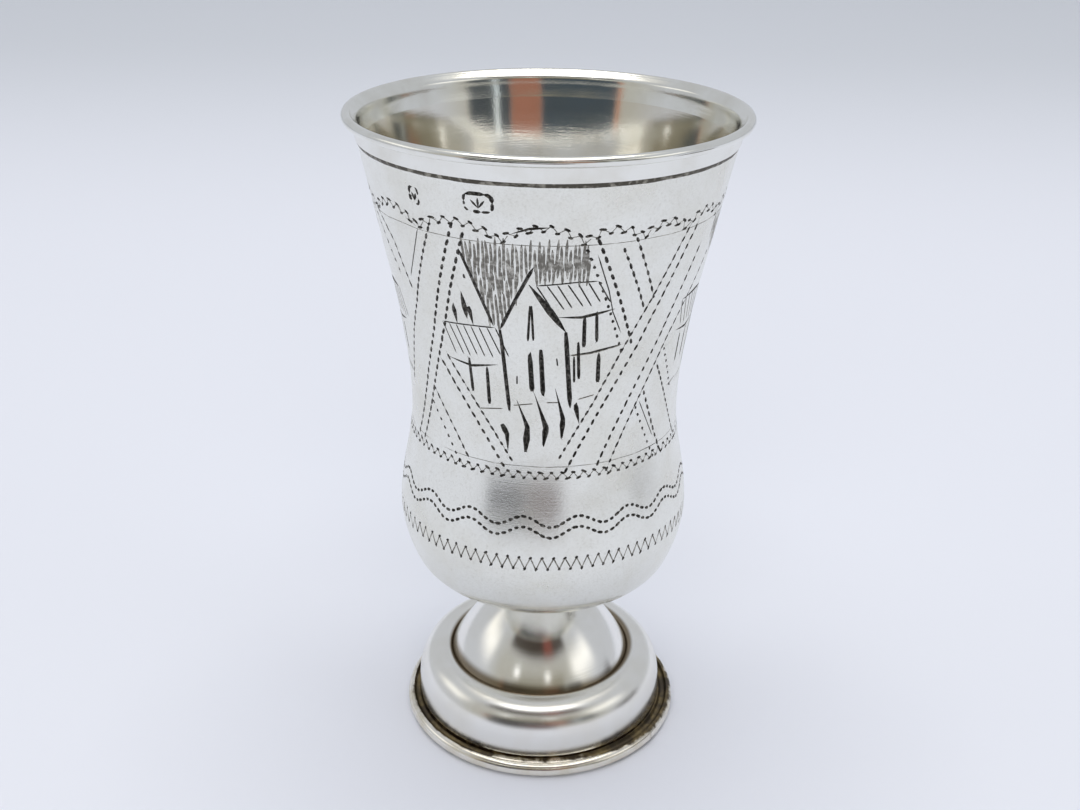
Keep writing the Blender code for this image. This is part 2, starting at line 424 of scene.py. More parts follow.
class NodeTool:
    """A Geometry Nodes tree with named inputs, run on a mesh of guide points."""

    def __init__(self, name: str, inputs: dict[str, str]) -> None:
        """Start the tree.

        Args:
            name: The tree's name.
            inputs: The socket type of each named input after the geometry.
        """
        self.tree = bpy.data.node_groups.new(name, "GeometryNodeTree")
        self.tree.interface.new_socket("Geometry", in_out="INPUT", socket_type="NodeSocketGeometry")
        self.identifiers: dict[str, str] = {}
        for label, kind in inputs.items():
            socket = self.tree.interface.new_socket(label, in_out="INPUT", socket_type=kind)
            self.identifiers[label] = socket.identifier
        self.tree.interface.new_socket("Geometry", in_out="OUTPUT", socket_type="NodeSocketGeometry")
        self.given = add(self.tree, "NodeGroupInput").outputs

    def end(self, shape: bpy.types.NodeSocket) -> None:
        """Close the tree with realized instances and the material input."""
        real = add(self.tree, "GeometryNodeRealizeInstances", {"Geometry": shape})
        dressed = add(self.tree, "GeometryNodeSetMaterial", {
            "Geometry": real.outputs[0], "Material": self.given["Material"]})
        add(self.tree, "NodeGroupOutput", {0: dressed.outputs[0]})

    def run(self, guides: bpy.types.Mesh, values: dict[str, object]) -> bpy.types.Mesh:
        """Evaluate the tree on a mesh.

        Args:
            guides: The mesh of guide points, which is used up.
            values: A value for each named input.

        Returns:
            The resulting mesh, free of modifiers.
        """
        carrier = bpy.data.objects.new("carrier", guides)
        bpy.context.collection.objects.link(carrier)
        modifier = carrier.modifiers.new("tree", "NODES")
        modifier.node_group = self.tree
        for label, value in values.items():
            modifier[self.identifiers[label]] = value
        depsgraph = bpy.context.evaluated_depsgraph_get()
        result = bpy.data.meshes.new_from_object(carrier.evaluated_get(depsgraph), depsgraph=depsgraph)
        carrier.modifiers.remove(modifier)
        bpy.data.objects.remove(carrier)
        bpy.data.meshes.remove(guides)
        return result


class Lathe(NodeTool):
    """Turns a closed section about the axis, a little uneven, as hand-worked sheet is."""

    def __init__(self) -> None:
        """Build the tree: a grid wrapped around the axis through the section's points."""
        super().__init__("lathe", {
            "Segments": "NodeSocketInt", "Section Points": "NodeSocketInt", "Unevenness": "NodeSocketFloat",
            "Waves": "NodeSocketFloat", "Seed": "NodeSocketFloat", "Material": "NodeSocketMaterial"})
        tree, given = self.tree, self.given
        columns = add(tree, "ShaderNodeMath", {0: given["Segments"], 1: 1.0}, operation="ADD")
        grid = add(tree, "GeometryNodeMeshGrid", {
            "Size X": 1.0, "Size Y": 1.0, "Vertices X": columns.outputs[0],
            "Vertices Y": given["Section Points"]})
        spot = add(tree, "ShaderNodeSeparateXYZ", {0: add(tree, "GeometryNodeInputPosition").outputs[0]})
        turn = add(tree, "ShaderNodeMath", {0: spot.outputs["X"], 1: 0.5}, operation="ADD")
        angle = add(tree, "ShaderNodeMath", {0: turn.outputs[0], 1: math.tau}, operation="MULTIPLY")
        share = add(tree, "ShaderNodeMath", {0: spot.outputs["Y"], 1: 0.5}, operation="ADD")
        last = add(tree, "ShaderNodeMath", {0: given["Section Points"], 1: 1.0}, operation="SUBTRACT")
        exact = add(tree, "ShaderNodeMath", {0: share.outputs[0], 1: last.outputs[0]}, operation="MULTIPLY")
        index = add(tree, "ShaderNodeMath", {0: exact.outputs[0]}, operation="ROUND")
        station = add(tree, "GeometryNodeSampleIndex", {
            "Geometry": given["Geometry"], "Value": add(tree, "GeometryNodeInputPosition").outputs[0],
            "Index": index.outputs[0]}, data_type="FLOAT_VECTOR")
        corner = add(tree, "ShaderNodeSeparateXYZ", {0: station.outputs[0]})
        cosine = add(tree, "ShaderNodeMath", {0: angle.outputs[0]}, operation="COSINE")
        sine = add(tree, "ShaderNodeMath", {0: angle.outputs[0]}, operation="SINE")
        tall = add(tree, "ShaderNodeMath", {
            0: corner.outputs["Z"], 1: 1 / (20 * MILLIMETRE)}, operation="MULTIPLY")
        round_place = add(tree, "ShaderNodeCombineXYZ", {
            0: cosine.outputs[0], 1: sine.outputs[0], 2: tall.outputs[0]})
        noise = add(tree, "ShaderNodeTexNoise", {
            "Vector": round_place.outputs[0], "W": given["Seed"], "Scale": given["Waves"], "Detail": 2.0},
            noise_dimensions="4D")
        sink = add(tree, "ShaderNodeMath", {
            0: noise.outputs[0], 1: given["Unevenness"]}, operation="MULTIPLY")
        uneven = add(tree, "ShaderNodeMath", {
            0: corner.outputs["X"], 1: sink.outputs[0]}, operation="SUBTRACT")
        radius = add(tree, "ShaderNodeMath", {0: uneven.outputs[0], 1: 0.0}, operation="MAXIMUM")
        across = add(tree, "ShaderNodeMath", {
            0: radius.outputs[0], 1: cosine.outputs[0]}, operation="MULTIPLY")
        along = add(tree, "ShaderNodeMath", {0: radius.outputs[0], 1: sine.outputs[0]}, operation="MULTIPLY")
        place = add(tree, "ShaderNodeCombineXYZ", {
            0: across.outputs[0], 1: along.outputs[0], 2: corner.outputs["Z"]})
        wrapped = add(tree, "GeometryNodeSetPosition", {
            "Geometry": grid.outputs["Mesh"], "Position": place.outputs[0]})
        self.end(wrapped.outputs[0])

    def turned(self, name: str, section: list[Point], material: bpy.types.Material, segments: int = 144,
               unevenness: float = 0.0, waves: float = 3.0, seed: float = 0.0,
               side_shift: float = 0.0) -> bpy.types.Object:
        """Turn one section and link the closed solid.

        Args:
            name: The piece's name.
            section: The corners as radius and height in millimetres, in order around the section.
            material: The piece's finish.
            segments: The number of flats around the axis.
            unevenness: The most that the surface sinks below its true radius, in millimetres.
            waves: How quickly the unevenness changes around the axis.
            seed: Picks one unevenness among many.
            side_shift: How far the solid sits off the axis towards +X, in millimetres.

        Returns:
            The piece.
        """
        closed = section + section[:1]
        corners = [(radius * MILLIMETRE, 0.0, height * MILLIMETRE) for radius, height in closed]
        guides = bpy.data.meshes.new("section")
        guides.from_pydata(corners, [], [])
        mesh = self.run(guides, {
            "Segments": segments, "Section Points": len(corners), "Unevenness": unevenness * MILLIMETRE,
            "Waves": waves, "Seed": seed, "Material": material})
        solid = bmesh.new()
        solid.from_mesh(mesh)
        bmesh.ops.remove_doubles(solid, verts=solid.verts, dist=0.0005 * MILLIMETRE)
        bmesh.ops.dissolve_degenerate(solid, edges=solid.edges, dist=0.0002 * MILLIMETRE)
        bmesh.ops.translate(solid, verts=solid.verts, vec=(side_shift * MILLIMETRE, 0, 0))
        bmesh.ops.recalc_face_normals(solid, faces=solid.faces)
        solid.to_mesh(mesh)
        solid.free()
        mesh.name = name
        mesh.shade_smooth()
        mesh.set_sharp_from_angle(angle=math.radians(38))
        piece = bpy.data.objects.new(name, mesh)
        bpy.context.collection.objects.link(piece)
        return piece


@dataclass(frozen=True)
class Cutter:
    """How a row of short cuts is struck along a guide line, in millimetres and degrees."""

    pitch: float
    length: float
    width: float
    depth: float
    anchor: float = 0.5
    sway: float = 0.0
    turn: float = 0.0
    zig: float = 0.0
    length_spread: float = 0.15
    turn_spread: float = 4.0
    rubbed: bool = False


class DashRow(NodeTool):
    """Lays short cuts along guide lines in the unrolled wall, as an engraver's punch does."""

    def __init__(self) -> None:
        """Build the tree: points along each guide, each with a short line turned to suit."""
        numbers = ("Pitch", "Length", "Anchor", "Sway", "Turn", "Zig", "Length Spread", "Turn Spread")
        super().__init__("dash row", {
            **{label: "NodeSocketFloat" for label in numbers},
            "Seed": "NodeSocketInt", "Material": "NodeSocketMaterial"})
        tree, given = self.tree, self.given
        curve = add(tree, "GeometryNodeMeshToCurve", {0: given["Geometry"]})
        points = add(tree, "GeometryNodeCurveToPoints", {
            "Curve": curve.outputs[0], "Length": given["Pitch"]}, mode="LENGTH")
        index = add(tree, "GeometryNodeInputIndex").outputs[0]
        odd = add(tree, "ShaderNodeMath", {0: index, 1: 2.0}, operation="MODULO")
        side = add(tree, "ShaderNodeMapRange", {"Value": odd.outputs[0], "To Min": 1.0, "To Max": -1.0})
        along = add(tree, "ShaderNodeSeparateXYZ", {0: points.outputs["Tangent"]})
        heading = add(tree, "ShaderNodeMath", {
            0: along.outputs["Y"], 1: along.outputs["X"]}, operation="ARCTAN2")
        zig = add(tree, "ShaderNodeMath", {0: given["Zig"], 1: side.outputs[0]}, operation="MULTIPLY")
        turned = add(tree, "ShaderNodeMath", {0: heading.outputs[0], 1: given["Turn"]}, operation="ADD")
        zigged = add(tree, "ShaderNodeMath", {0: turned.outputs[0], 1: zig.outputs[0]}, operation="ADD")
        shake = add(tree, "FunctionNodeRandomValue", {"Min": -1.0, "Max": 1.0, "Seed": given["Seed"]})
        wander = add(tree, "ShaderNodeMath", {
            0: shake.outputs["Value"], 1: given["Turn Spread"]}, operation="MULTIPLY")
        angle = add(tree, "ShaderNodeMath", {0: zigged.outputs[0], 1: wander.outputs[0]}, operation="ADD")
        rotation = add(tree, "ShaderNodeCombineXYZ", {2: angle.outputs[0]})
        next_seed = add(tree, "ShaderNodeMath", {0: given["Seed"], 1: 7.0}, operation="ADD")
        stretch = add(tree, "FunctionNodeRandomValue", {
            "Min": -1.0, "Max": 1.0, "Seed": next_seed.outputs[0]})
        spread = add(tree, "ShaderNodeMath", {
            0: stretch.outputs["Value"], 1: given["Length Spread"]}, operation="MULTIPLY")
        share = add(tree, "ShaderNodeMath", {0: spread.outputs[0], 1: 1.0}, operation="ADD")
        length = add(tree, "ShaderNodeMath", {0: share.outputs[0], 1: given["Length"]}, operation="MULTIPLY")
        scale = add(tree, "ShaderNodeCombineXYZ", {0: length.outputs[0], 1: 1.0, 2: 1.0})
        swing = add(tree, "ShaderNodeMath", {0: given["Sway"], 1: side.outputs[0]}, operation="MULTIPLY")
        back = add(tree, "ShaderNodeMath", {0: along.outputs["Y"], 1: -1.0}, operation="MULTIPLY")
        across = add(tree, "ShaderNodeCombineXYZ", {0: back.outputs[0], 1: along.outputs["X"]})
        offset = add(tree, "ShaderNodeVectorMath", {
            0: across.outputs[0], "Scale": swing.outputs[0]}, operation="SCALE")
        swayed = add(tree, "GeometryNodeSetPosition", {
            "Geometry": points.outputs["Points"], "Offset": offset.outputs[0]})
        begin = add(tree, "ShaderNodeMath", {0: given["Anchor"], 1: -1.0}, operation="MULTIPLY")
        start = add(tree, "ShaderNodeCombineXYZ", {0: begin.outputs[0]})
        dash = add(tree, "GeometryNodeMeshLine", {
            "Count": 2, "Start Location": start.outputs[0], "Offset": (1.0, 0.0, 0.0)})
        laid = add(tree, "GeometryNodeInstanceOnPoints", {
            "Points": swayed.outputs[0], "Instance": dash.outputs[0], "Rotation": rotation.outputs[0],
            "Scale": scale.outputs[0]})
        self.end(laid.outputs[0])

    def laid(self, lines: list[Line], cutter: Cutter, seed: int) -> list[Line]:
        """Lay one cutter's row along guide lines.

        Args:
            lines: The guide lines in the unrolled wall, in millimetres.
            cutter: The row's pitch, length and turn.
            seed: Picks the row's small irregularities.

        Returns:
            The middle line of each cut, as start and end.
        """
        points: list[tuple[float, float, float]] = []
        edges = []
        for line in lines:
            first = len(points)
            points += [(x, y, 0.0) for x, y in line]
            edges += [(i, i + 1) for i in range(first, len(points) - 1)]
        guides = bpy.data.meshes.new("guides")
        guides.from_pydata(points, edges, [])
        mesh = self.run(guides, {
            "Pitch": cutter.pitch, "Length": cutter.length, "Anchor": cutter.anchor, "Sway": cutter.sway,
            "Turn": math.radians(cutter.turn), "Zig": math.radians(cutter.zig),
            "Length Spread": cutter.length_spread, "Turn Spread": math.radians(cutter.turn_spread),
            "Seed": seed})
        cuts = []
        for edge in mesh.edges:
            start, end = (mesh.vertices[number].co for number in edge.vertices)
            cuts.append(((start.x, start.y), (end.x, end.y)))
        bpy.data.meshes.remove(mesh)
        return cuts


class Shape(Enum):
    """How wide a cut is along its length, as shares of its length and of its full width."""

    DASH = ((0.0, 0.35), (0.22, 1.0), (0.78, 1.0), (1.0, 0.35))
    LINE = ((0.0, 0.1), (0.08, 1.0), (0.92, 1.0), (1.0, 0.1))
    FLICK = ((0.0, 0.1), (0.25, 0.65), (0.55, 1.0), (0.8, 0.7), (1.0, 0.1))
    WALL = ((0.0, 0.6), (0.15, 0.9), (0.9, 1.0), (1.0, 0.5))
    WEDGE_DOWN = ((0.0, 0.7), (0.2, 1.0), (0.6, 0.6), (1.0, 0.05))
    WEDGE_UP = ((0.0, 0.05), (0.35, 0.4), (0.75, 1.0), (1.0, 0.35))


@dataclass
class Cut:
    """One V-shaped groove in the unrolled wall: its middle line, width and depth, in millimetres."""

    line: Line
    width: float
    depth: float
    shape: Shape = Shape.DASH
    rubbed: bool = False
    stations: list[tuple[float, float, float]] = field(default_factory=list)

    def __post_init__(self) -> None:
        """Place the stations, each with a place on the middle line and a half width."""
        lengths = [math.dist(a, b) for a, b in zip(self.line, self.line[1:])]
        total = sum(lengths)
        shares = {share for share, _ in self.shape.value}
        walked = 0.0
        for length in lengths[:-1]:
            walked += length
            shares.add(walked / total)
        for share in sorted(shares):
            x, y = self.along(share, lengths, total)
            self.stations.append((x, y, self.half_width(share)))

    def along(self, share: float, lengths: list[float], total: float) -> Point:
        """Return the point at a share of the middle line's length."""
        left = share * total
        for start, end, length in zip(self.line, self.line[1:], lengths):
            if left <= length + 1e-9:
                part = left / length
                return (start[0] + (end[0] - start[0]) * part, start[1] + (end[1] - start[1]) * part)
            left -= length
        return self.line[-1]

    def half_width(self, share: float) -> float:
        """Return the half width at a share of the cut's length."""
        stops = self.shape.value
        for (before, low), (after, high) in zip(stops, stops[1:]):
            if share <= after:
                part = (share - before) / (after - before)
                return self.width / 2 * (low + (high - low) * part)
        return self.width / 2 * stops[-1][1]

    def moved(self, distance: float) -> "Cut":
        """Return the same cut further around the wall."""
        moved = tuple((x + distance, y) for x, y in self.line)
        return Cut(moved, self.width, self.depth, self.shape, self.rubbed)

    def outline(self) -> list[Point]:
        """Return the groove's edge as a closed loop, left side first."""
        left, right = [], []
        last = len(self.stations) - 1
        for index, (x, y, half) in enumerate(self.stations):
            before = self.stations[max(index - 1, 0)]
            after = self.stations[min(index + 1, last)]
            length = math.hypot(after[0] - before[0], after[1] - before[1]) or 1.0
            across = ((before[1] - after[1]) / length * half, (after[0] - before[0]) / length * half)
            left.append((x + across[0], y + across[1]))
            right.append((x - across[0], y - across[1]))
        return left + right[::-1]

    def depth_at(self, x: float, y: float) -> float:
        """Return how deep the groove is at a point of the unrolled wall."""
        deepest = 0.0
        for (ax, ay, low), (bx, by, high) in zip(self.stations, self.stations[1:]):
            dx, dy = bx - ax, by - ay
            square = dx * dx + dy * dy
            if square == 0:
                continue
            share = min(1.0, max(0.0, ((x - ax) * dx + (y - ay) * dy) / square))
            half = low + (high - low) * share
            off = math.hypot(x - ax - dx * share, y - ay - dy * share)
            if off < half:
                deepest = max(deepest, self.depth * (1 - off / half) * half / (self.width / 2))
        return deepest


class Wall:
    """The bowl's engraved wall, unrolled: degrees around the axis and heights, both as millimetres."""

    def __init__(self, radius: float) -> None:
        """Keep the mean radius, which turns degrees into millimetres around the wall."""
        self.radius = radius
        self.round = math.tau * radius
        self.cuts: list[Cut] = []
        self.rows = DashRow()
        self.seed = 0

    def flat(self, line: Line, centre: float = 0.0) -> Line:
        """Return a line of degrees and heights as millimetres in the unrolled wall."""
        return tuple((math.radians(angle + centre) * self.radius, height) for angle, height in line)

    def cut(self, line: Line, width: float, shape: Shape, centre: float = 0.0, rubbed: bool = False) -> None:
        """Cut one groove along a line of degrees and heights."""
        self.cuts.append(Cut(self.flat(line, centre), width, width * 0.45, shape, rubbed))

    def row(self, lines: list[Line], cutter: Cutter, shape: Shape = Shape.DASH, centre: float = 0.0) -> None:
        """Cut a row of short grooves along guide lines of degrees and heights."""
        self.seed += 1
        flat_lines = [self.flat(line, centre) for line in lines]
        for line in self.rows.laid(flat_lines, cutter, self.seed):
            self.cuts.append(Cut(line, cutter.width, cutter.depth, shape, cutter.rubbed))

    def wrapped(self) -> list[Cut]:
        """Return every cut within the turn, with a copy of those that cross its seam."""
        half = self.round / 2
        reach = 6.0
        kept = []
        for cut in self.cuts:
            middle = sum(x for x, _ in cut.line) / len(cut.line)
            turns = math.floor((middle + half) / self.round)
            home = cut.moved(-turns * self.round) if turns else cut
            kept.append(home)
            middle -= turns * self.round
            if middle > half - reach:
                kept.append(home.moved(-self.round))
            if middle < reach - half:
                kept.append(home.moved(self.round))
        return kept


BORDER_DOT = Cutter(pitch=0.72, length=0.66, width=0.32, depth=0.14, sway=0.36, zig=-16.0, length_spread=0.3,
                    turn_spread=12)
BORDER_LINK = Cutter(pitch=0.72, length=0.98, width=0.1, depth=0.04, sway=0.36, anchor=0.0, zig=-46.0,
                     rubbed=True)
RIBBON_HEAVY = Cutter(pitch=1.14, length=0.8, width=0.36, depth=0.14, length_spread=0.2, turn_spread=7)
RIBBON_DASH = Cutter(pitch=1.08, length=0.74, width=0.32, depth=0.12, length_spread=0.25, turn_spread=6)
RIBBON_DOT = Cutter(pitch=1.1, length=0.46, width=0.33, depth=0.12, length_spread=0.2, turn_spread=20)
WAVE_DASH = Cutter(pitch=0.88, length=0.66, width=0.37, depth=0.13, length_spread=0.2, turn_spread=8)


@dataclass(frozen=True)
class Crossing:
    """Two ribbons that cross, each drawn as dotted double borders that stop at the ribbon over it."""

    centre: float
    height: float = 60.7
    heavy: tuple[Line, ...] = ()
    light: tuple[Line, ...] = ()
    dotted: tuple[Line, ...] = ()
    scribed: tuple[Line, ...] = ()

    def engrave(self, wall: Wall) -> None:
        """Cut the ribbons' borders, each given from the crossing's middle."""
        groups = ((self.heavy, RIBBON_HEAVY), (self.light, RIBBON_DASH), (self.dotted, RIBBON_DOT))
        for lines, cutter in groups:
            if lines:
                wall.row([self.placed(line) for line in lines], cutter, centre=self.centre)
        for line in self.scribed:
            wall.cut(self.placed(line), 0.14, Shape.LINE, self.centre)
        for line in self.light:
            wall.cut(self.placed(line), 0.07, Shape.LINE, self.centre, rubbed=True)

    def placed(self, line: Line) -> Line:
        """Return a line raised to the crossing's height."""
        return tuple((angle, rise + self.height) for angle, rise in line)


LEFT_CROSSING = Crossing(
    centre=-52.5,
    heavy=(((27, 14.4), (14.7, 2.5), (-6.8, -15.0)), ((23.5, 15.3), (8.1, 1.0), (-12.1, -14.9)),
           ((10.9, -3.2), (36.1, -15.0))),
    light=(((14.6, 14.3), (0.7, 3.9), (-6.9, -0.6), (-16.1, -7.9)), ((14.0, -2.1), (39.4, -14.1)),
           ((3.3, -7.3), (20.0, -14.7)), ((-14.0, 14.0), (-6.1, 11.0), (-0.9, 6.0))),
    dotted=(((1.3, -9.5), (16.3, -15.9)), ((-19.0, 14.2), (-7.6, 7.2))),
    scribed=(((10.1, 14.0), (0.5, 7.1)),),
)
RIGHT_CROSSING = Crossing(
    centre=36.5,
    heavy=(((16.2, 13.7), (-0.8, 0.2), (-27.5, -15.4)), ((-20.9, 14.2), (-4.3, 0.8)),
           ((22.1, 10.4), (10.2, 0.4), (-14.2, -14.9)), ((6.5, -7.0), (19.7, -16.0))),
    light=(((11.9, 13.7), (1.3, 5.8), (-17.3, -6.6), (-29.9, -13.6)), ((-8.6, 14.0), (2.1, 6.2)),
           ((-12.5, 12.9), (-2.0, 5.5)),
           ((32.9, 8.9), (16.0, 0.2), (-10.3, -15.9)), ((12.7, -4.1), (36.2, -16.4))),
    dotted=(((-24.2, 13.2), (-8.1, -0.2)), ((2.7, -8.7), (14.6, -16.3)), ((15.0, -1.9), (25.1, -7.8))),
    scribed=(((-21.1, 12.7), (-16.0, 8.0), (-13.6, 5.2), (-9.2, 2.2)), ((4.2, -7.9), (14.5, -13.6))),
)


@dataclass(frozen=True)
class House:
    """A house front in a few cuts, in degrees from the panel's middle and heights above the table."""

    left_eave: Point
    right_eave: Point
    left_foot: Point
    right_foot: Point
    ridge: Point
    ridge_overshoot: Point
    wall_width: float = 0.52
    roof_width: float = 0.85

    def engrave(self, wall: Wall, centre: float) -> None:
        """Cut the two walls and the gable, whose right slope is one heavy flick."""
        wall.cut((self.ridge_overshoot, self.left_eave), self.wall_width * 0.75, Shape.LINE, centre)
        wall.cut((self.ridge, self.right_eave), self.roof_width, Shape.FLICK, centre)
        wall.cut((self.left_eave, self.left_foot), self.wall_width, Shape.WALL, centre)
        wall.cut((self.right_eave, self.right_foot), self.wall_width * 1.2, Shape.WALL, centre)


@dataclass(frozen=True)
class Roof:
    """A tiled roof beside a gable: a thin ridge, slanting tile lines and a heavy eave."""

    ridge: Line
    eave: Line
    tiles: int
    slant: Point
    tile_width: float = 0.17
    eave_width: float = 0.34

    def engrave(self, wall: Wall, centre: float) -> None:
        """Cut the roof, with its tile lines laid along the ridge."""
        first, last = self.ridge[0], self.ridge[-1]
        wall.cut(self.ridge, self.tile_width, Shape.LINE, centre)
        wall.cut(self.eave, self.eave_width, Shape.FLICK, centre)
        side = math.radians(self.slant[0]) * wall.radius
        span = math.radians(last[0] - first[0]) * wall.radius
        tile = Cutter(pitch=span / self.tiles, length=math.hypot(side, self.slant[1]), width=self.tile_width,
                      depth=0.07, anchor=0.0, turn=math.degrees(math.atan2(self.slant[1], side)),
                      length_spread=0.1, turn_spread=2)
        wall.row([(first, last)], tile, Shape.LINE, centre)


@dataclass(frozen=True)
class Sky:
    """A hatched sky above the roofs, in rows of fine upright cuts, shorter towards the valley."""

    rows: tuple[Line, ...]
    hatch: Cutter = Cutter(pitch=0.44, length=3.1, width=0.3, depth=0.07, turn=90, length_spread=0.3,
                           turn_spread=4, sway=0.35, rubbed=True)

    def engrave(self, wall: Wall, centre: float) -> None:
        """Cut the rows."""
        wall.row(list(self.rows), self.hatch, Shape.DASH, centre)


@dataclass(frozen=True)
class Village:
    """One picture between the ribbons."""

    houses: tuple[House, ...]
    roofs: tuple[Roof, ...]
    sky: Sky
    windows: tuple[tuple[Line, float], ...]
    ground: tuple[Line, ...]
    path: tuple[tuple[Line, float, Shape], ...]

    def engrave(self, wall: Wall, centre: float) -> None:
        """Cut the picture around a panel's middle."""
        self.sky.engrave(wall, centre)
        for part in self.houses + self.roofs:
            part.engrave(wall, centre)
        for line, width in self.windows:
            wall.cut(line, width, Shape.WALL, centre)
        for line in self.ground:
            wall.cut(line, 0.15, Shape.LINE, centre, rubbed=True)
        for line, width, shape in self.path:
            wall.cut(line, width, shape, centre)


FRONT_VILLAGE = Village(
    houses=(House((-7.7, 63.7), (15.0, 63.7), (-5.5, 53.0), (17.9, 53.9), (2.7, 69.8), (4.2, 72.0)),),
    roofs=(
        Roof(((-31.0, 63.3), (-19.0, 63.7), (-9.4, 63.9)), ((-30.5, 58.7), (-20.0, 58.3), (-9.6, 59.0)), 7,
             (3.6, -3.9)),
        Roof(((5.0, 69.7), (17.0, 70.1), (24.5, 70.1)), ((12.2, 65.7), (20.0, 65.6), (31.6, 66.3)), 6,
             (4.6, -3.0),
             eave_width=0.42),
    ),
    sky=Sky((
        ((-18.0, 73.1), (20.5, 73.1)), ((-16.0, 71.3), (0.5, 71.3)), ((5.0, 71.5), (21.0, 71.5)),
        ((-14.5, 69.4), (-1.5, 69.4)), ((-12.6, 67.4), (-4.0, 67.4)), ((-11.2, 65.6), (-6.5, 65.6)),
    )),
    windows=(
        (((2.9, 67.1), (2.0, 62.5)), 0.3), (((3.4, 67.1), (3.9, 62.6)), 0.3),
        (((2.6, 60.7), (3.4, 55.8)), 0.66), (((6.5, 61.4), (7.5, 55.4)), 0.62),
        (((-2.2, 57.8), (-2.3, 56.7)), 0.2), (((12.2, 60.3), (12.6, 59.3)), 0.2),
        (((-20.9, 59.2), (-20.4, 54.8)), 0.46), (((-13.7, 58.3), (-13.6, 53.5)), 0.5),
        (((21.1, 65.5), (21.7, 61.6)), 0.5), (((25.1, 66.1), (26.3, 62.2)), 0.42),
        (((19.6, 62.3), (20.7, 57.4)), 0.42), (((18.4, 60.4), (19.0, 57.0)), 0.32),
        (((27.6, 60.4), (28.2, 56.7)), 0.58), (((-18.8, 70.2), (-18.6, 69.7)), 0.3),
    ),
    ground=(
        ((-17.9, 52.7), (-8.1, 53.2)), ((-4.0, 53.8), (3.7, 54.2)), ((8.7, 54.4), (13.4, 54.4)),
        ((20.9, 54.7), (27.2, 55.1)), ((16.7, 60.6), (24.0, 60.7), (36.2, 61.3)),
    ),
    path=(
        (((-19.5, 73.4), (-9.9, 64.1)), 0.36, Shape.LINE),
        (((-20.7, 67.9), (-19.7, 64.5)), 0.72, Shape.FLICK),
        (((-24.7, 65.7), (-24.1, 63.5)), 0.62, Shape.WEDGE_DOWN),
        (((-18.5, 66.1), (-17.5, 63.7)), 0.58, Shape.WEDGE_DOWN),
        (((-8.6, 51.0), (-6.7, 49.8), (-6.3, 47.6)), 0.8, Shape.WEDGE_DOWN),
        (((-2.6, 54.6), (1.5, 51.0), (0.8, 47.6)), 0.95, Shape.WEDGE_UP),
        (((4.2, 55.6), (8.8, 51.0), (7.9, 48.7)), 0.85, Shape.WEDGE_UP),
        (((12.0, 56.3), (15.3, 52.2), (15.0, 49.6)), 0.74, Shape.WEDGE_UP),
        (((20.0, 54.0), (21.9, 51.3)), 0.66, Shape.WEDGE_DOWN),
        (((16.7, 60.7), (24.0, 60.8), (36.2, 61.4)), 0.36, Shape.FLICK),
    ),
)


@dataclass(frozen=True)
class Tree:
    """A small leafy tree: a trunk with a fan of flicked leaves, in degrees and heights."""

    foot: Point
    trunk: float
    crown: float
    leaves: int = 9

    def cuts(self) -> tuple[tuple[Line, float, Shape], ...]:
        """Return the trunk and its leaves as lines with a width and a shape."""
        top = (self.foot[0], self.foot[1] + self.trunk)
        made = [((self.foot, top), 0.3, Shape.WALL)]
        for leaf in range(self.leaves):
            lean = math.radians(-70 + 140 * leaf / (self.leaves - 1))
            tip = (top[0] + 3.2 * self.crown * math.sin(lean), top[1] + self.crown * math.cos(lean))
            start = (top[0] + (tip[0] - top[0]) * 0.3, top[1] + (tip[1] - top[1]) * 0.3)
            made.append(((start, tip), 0.38, Shape.FLICK))
        return tuple(made)


def hidden_village(lean: float, tree_side: float) -> Village:
    """Return a plainer picture in keeping, for a panel that faces away.

    Args:
        lean: How far the house stands from the panel's middle, in degrees.
        tree_side: Which side the trees stand on, 1 or -1.

    Returns:
        The picture: one gabled house with a tiled wing, two trees, ground and sky.
    """
    near = Tree((lean + 17.0 * tree_side, 54.5), 3.4, 3.6)
    far = Tree((lean + 25.0 * tree_side, 57.5), 2.6, 3.0, 7)
    wing = -tree_side
    low = lean + (10.0 if wing > 0 else -28.0)
    return Village(
        houses=(House((lean - 9, 63.0), (lean + 9, 63.2), (lean - 8, 54.0), (lean + 9.5, 54.2),
                      (lean - 0.5, 69.0), (lean + 0.8, 70.6)),),
        roofs=(Roof(((low, 64.8), (low + 18, 65.0)), ((low + 1, 60.6), (low + 10, 60.3), (low + 18, 60.8)), 6,
                    (3.4, -3.7)),),
        sky=Sky((((lean - 17, 73.0), (lean + 17, 73.0)), ((lean - 14, 71.4), (lean - 3, 71.4)),
                 ((lean + 4, 71.4), (lean + 15, 71.4)))),
        windows=(
            (((lean - 3, 60.6), (lean - 2.6, 56.2)), 0.46), (((lean + 3, 60.8), (lean + 3.4, 56.2)), 0.46),
            (((lean - 0.2, 66.2), (lean, 63.0)), 0.3), (((low + 6, 59.6), (low + 6.2, 56.0)), 0.38),
            (((low + 12, 59.6), (low + 12.3, 56.0)), 0.38),
        ),
        ground=(((lean - 26, 53.0), (lean - 10, 53.6)), ((lean - 5, 53.8), (lean + 7, 54.0)),
                ((lean + 11, 54.2), (lean + 27, 53.4))),
        path=near.cuts() + far.cuts() + (
            (((lean - 4, 52.0), (lean - 2.5, 49.0)), 0.4, Shape.WEDGE_UP),
            (((lean + 3, 52.4), (lean + 5, 49.2)), 0.4, Shape.WEDGE_UP)),
    )


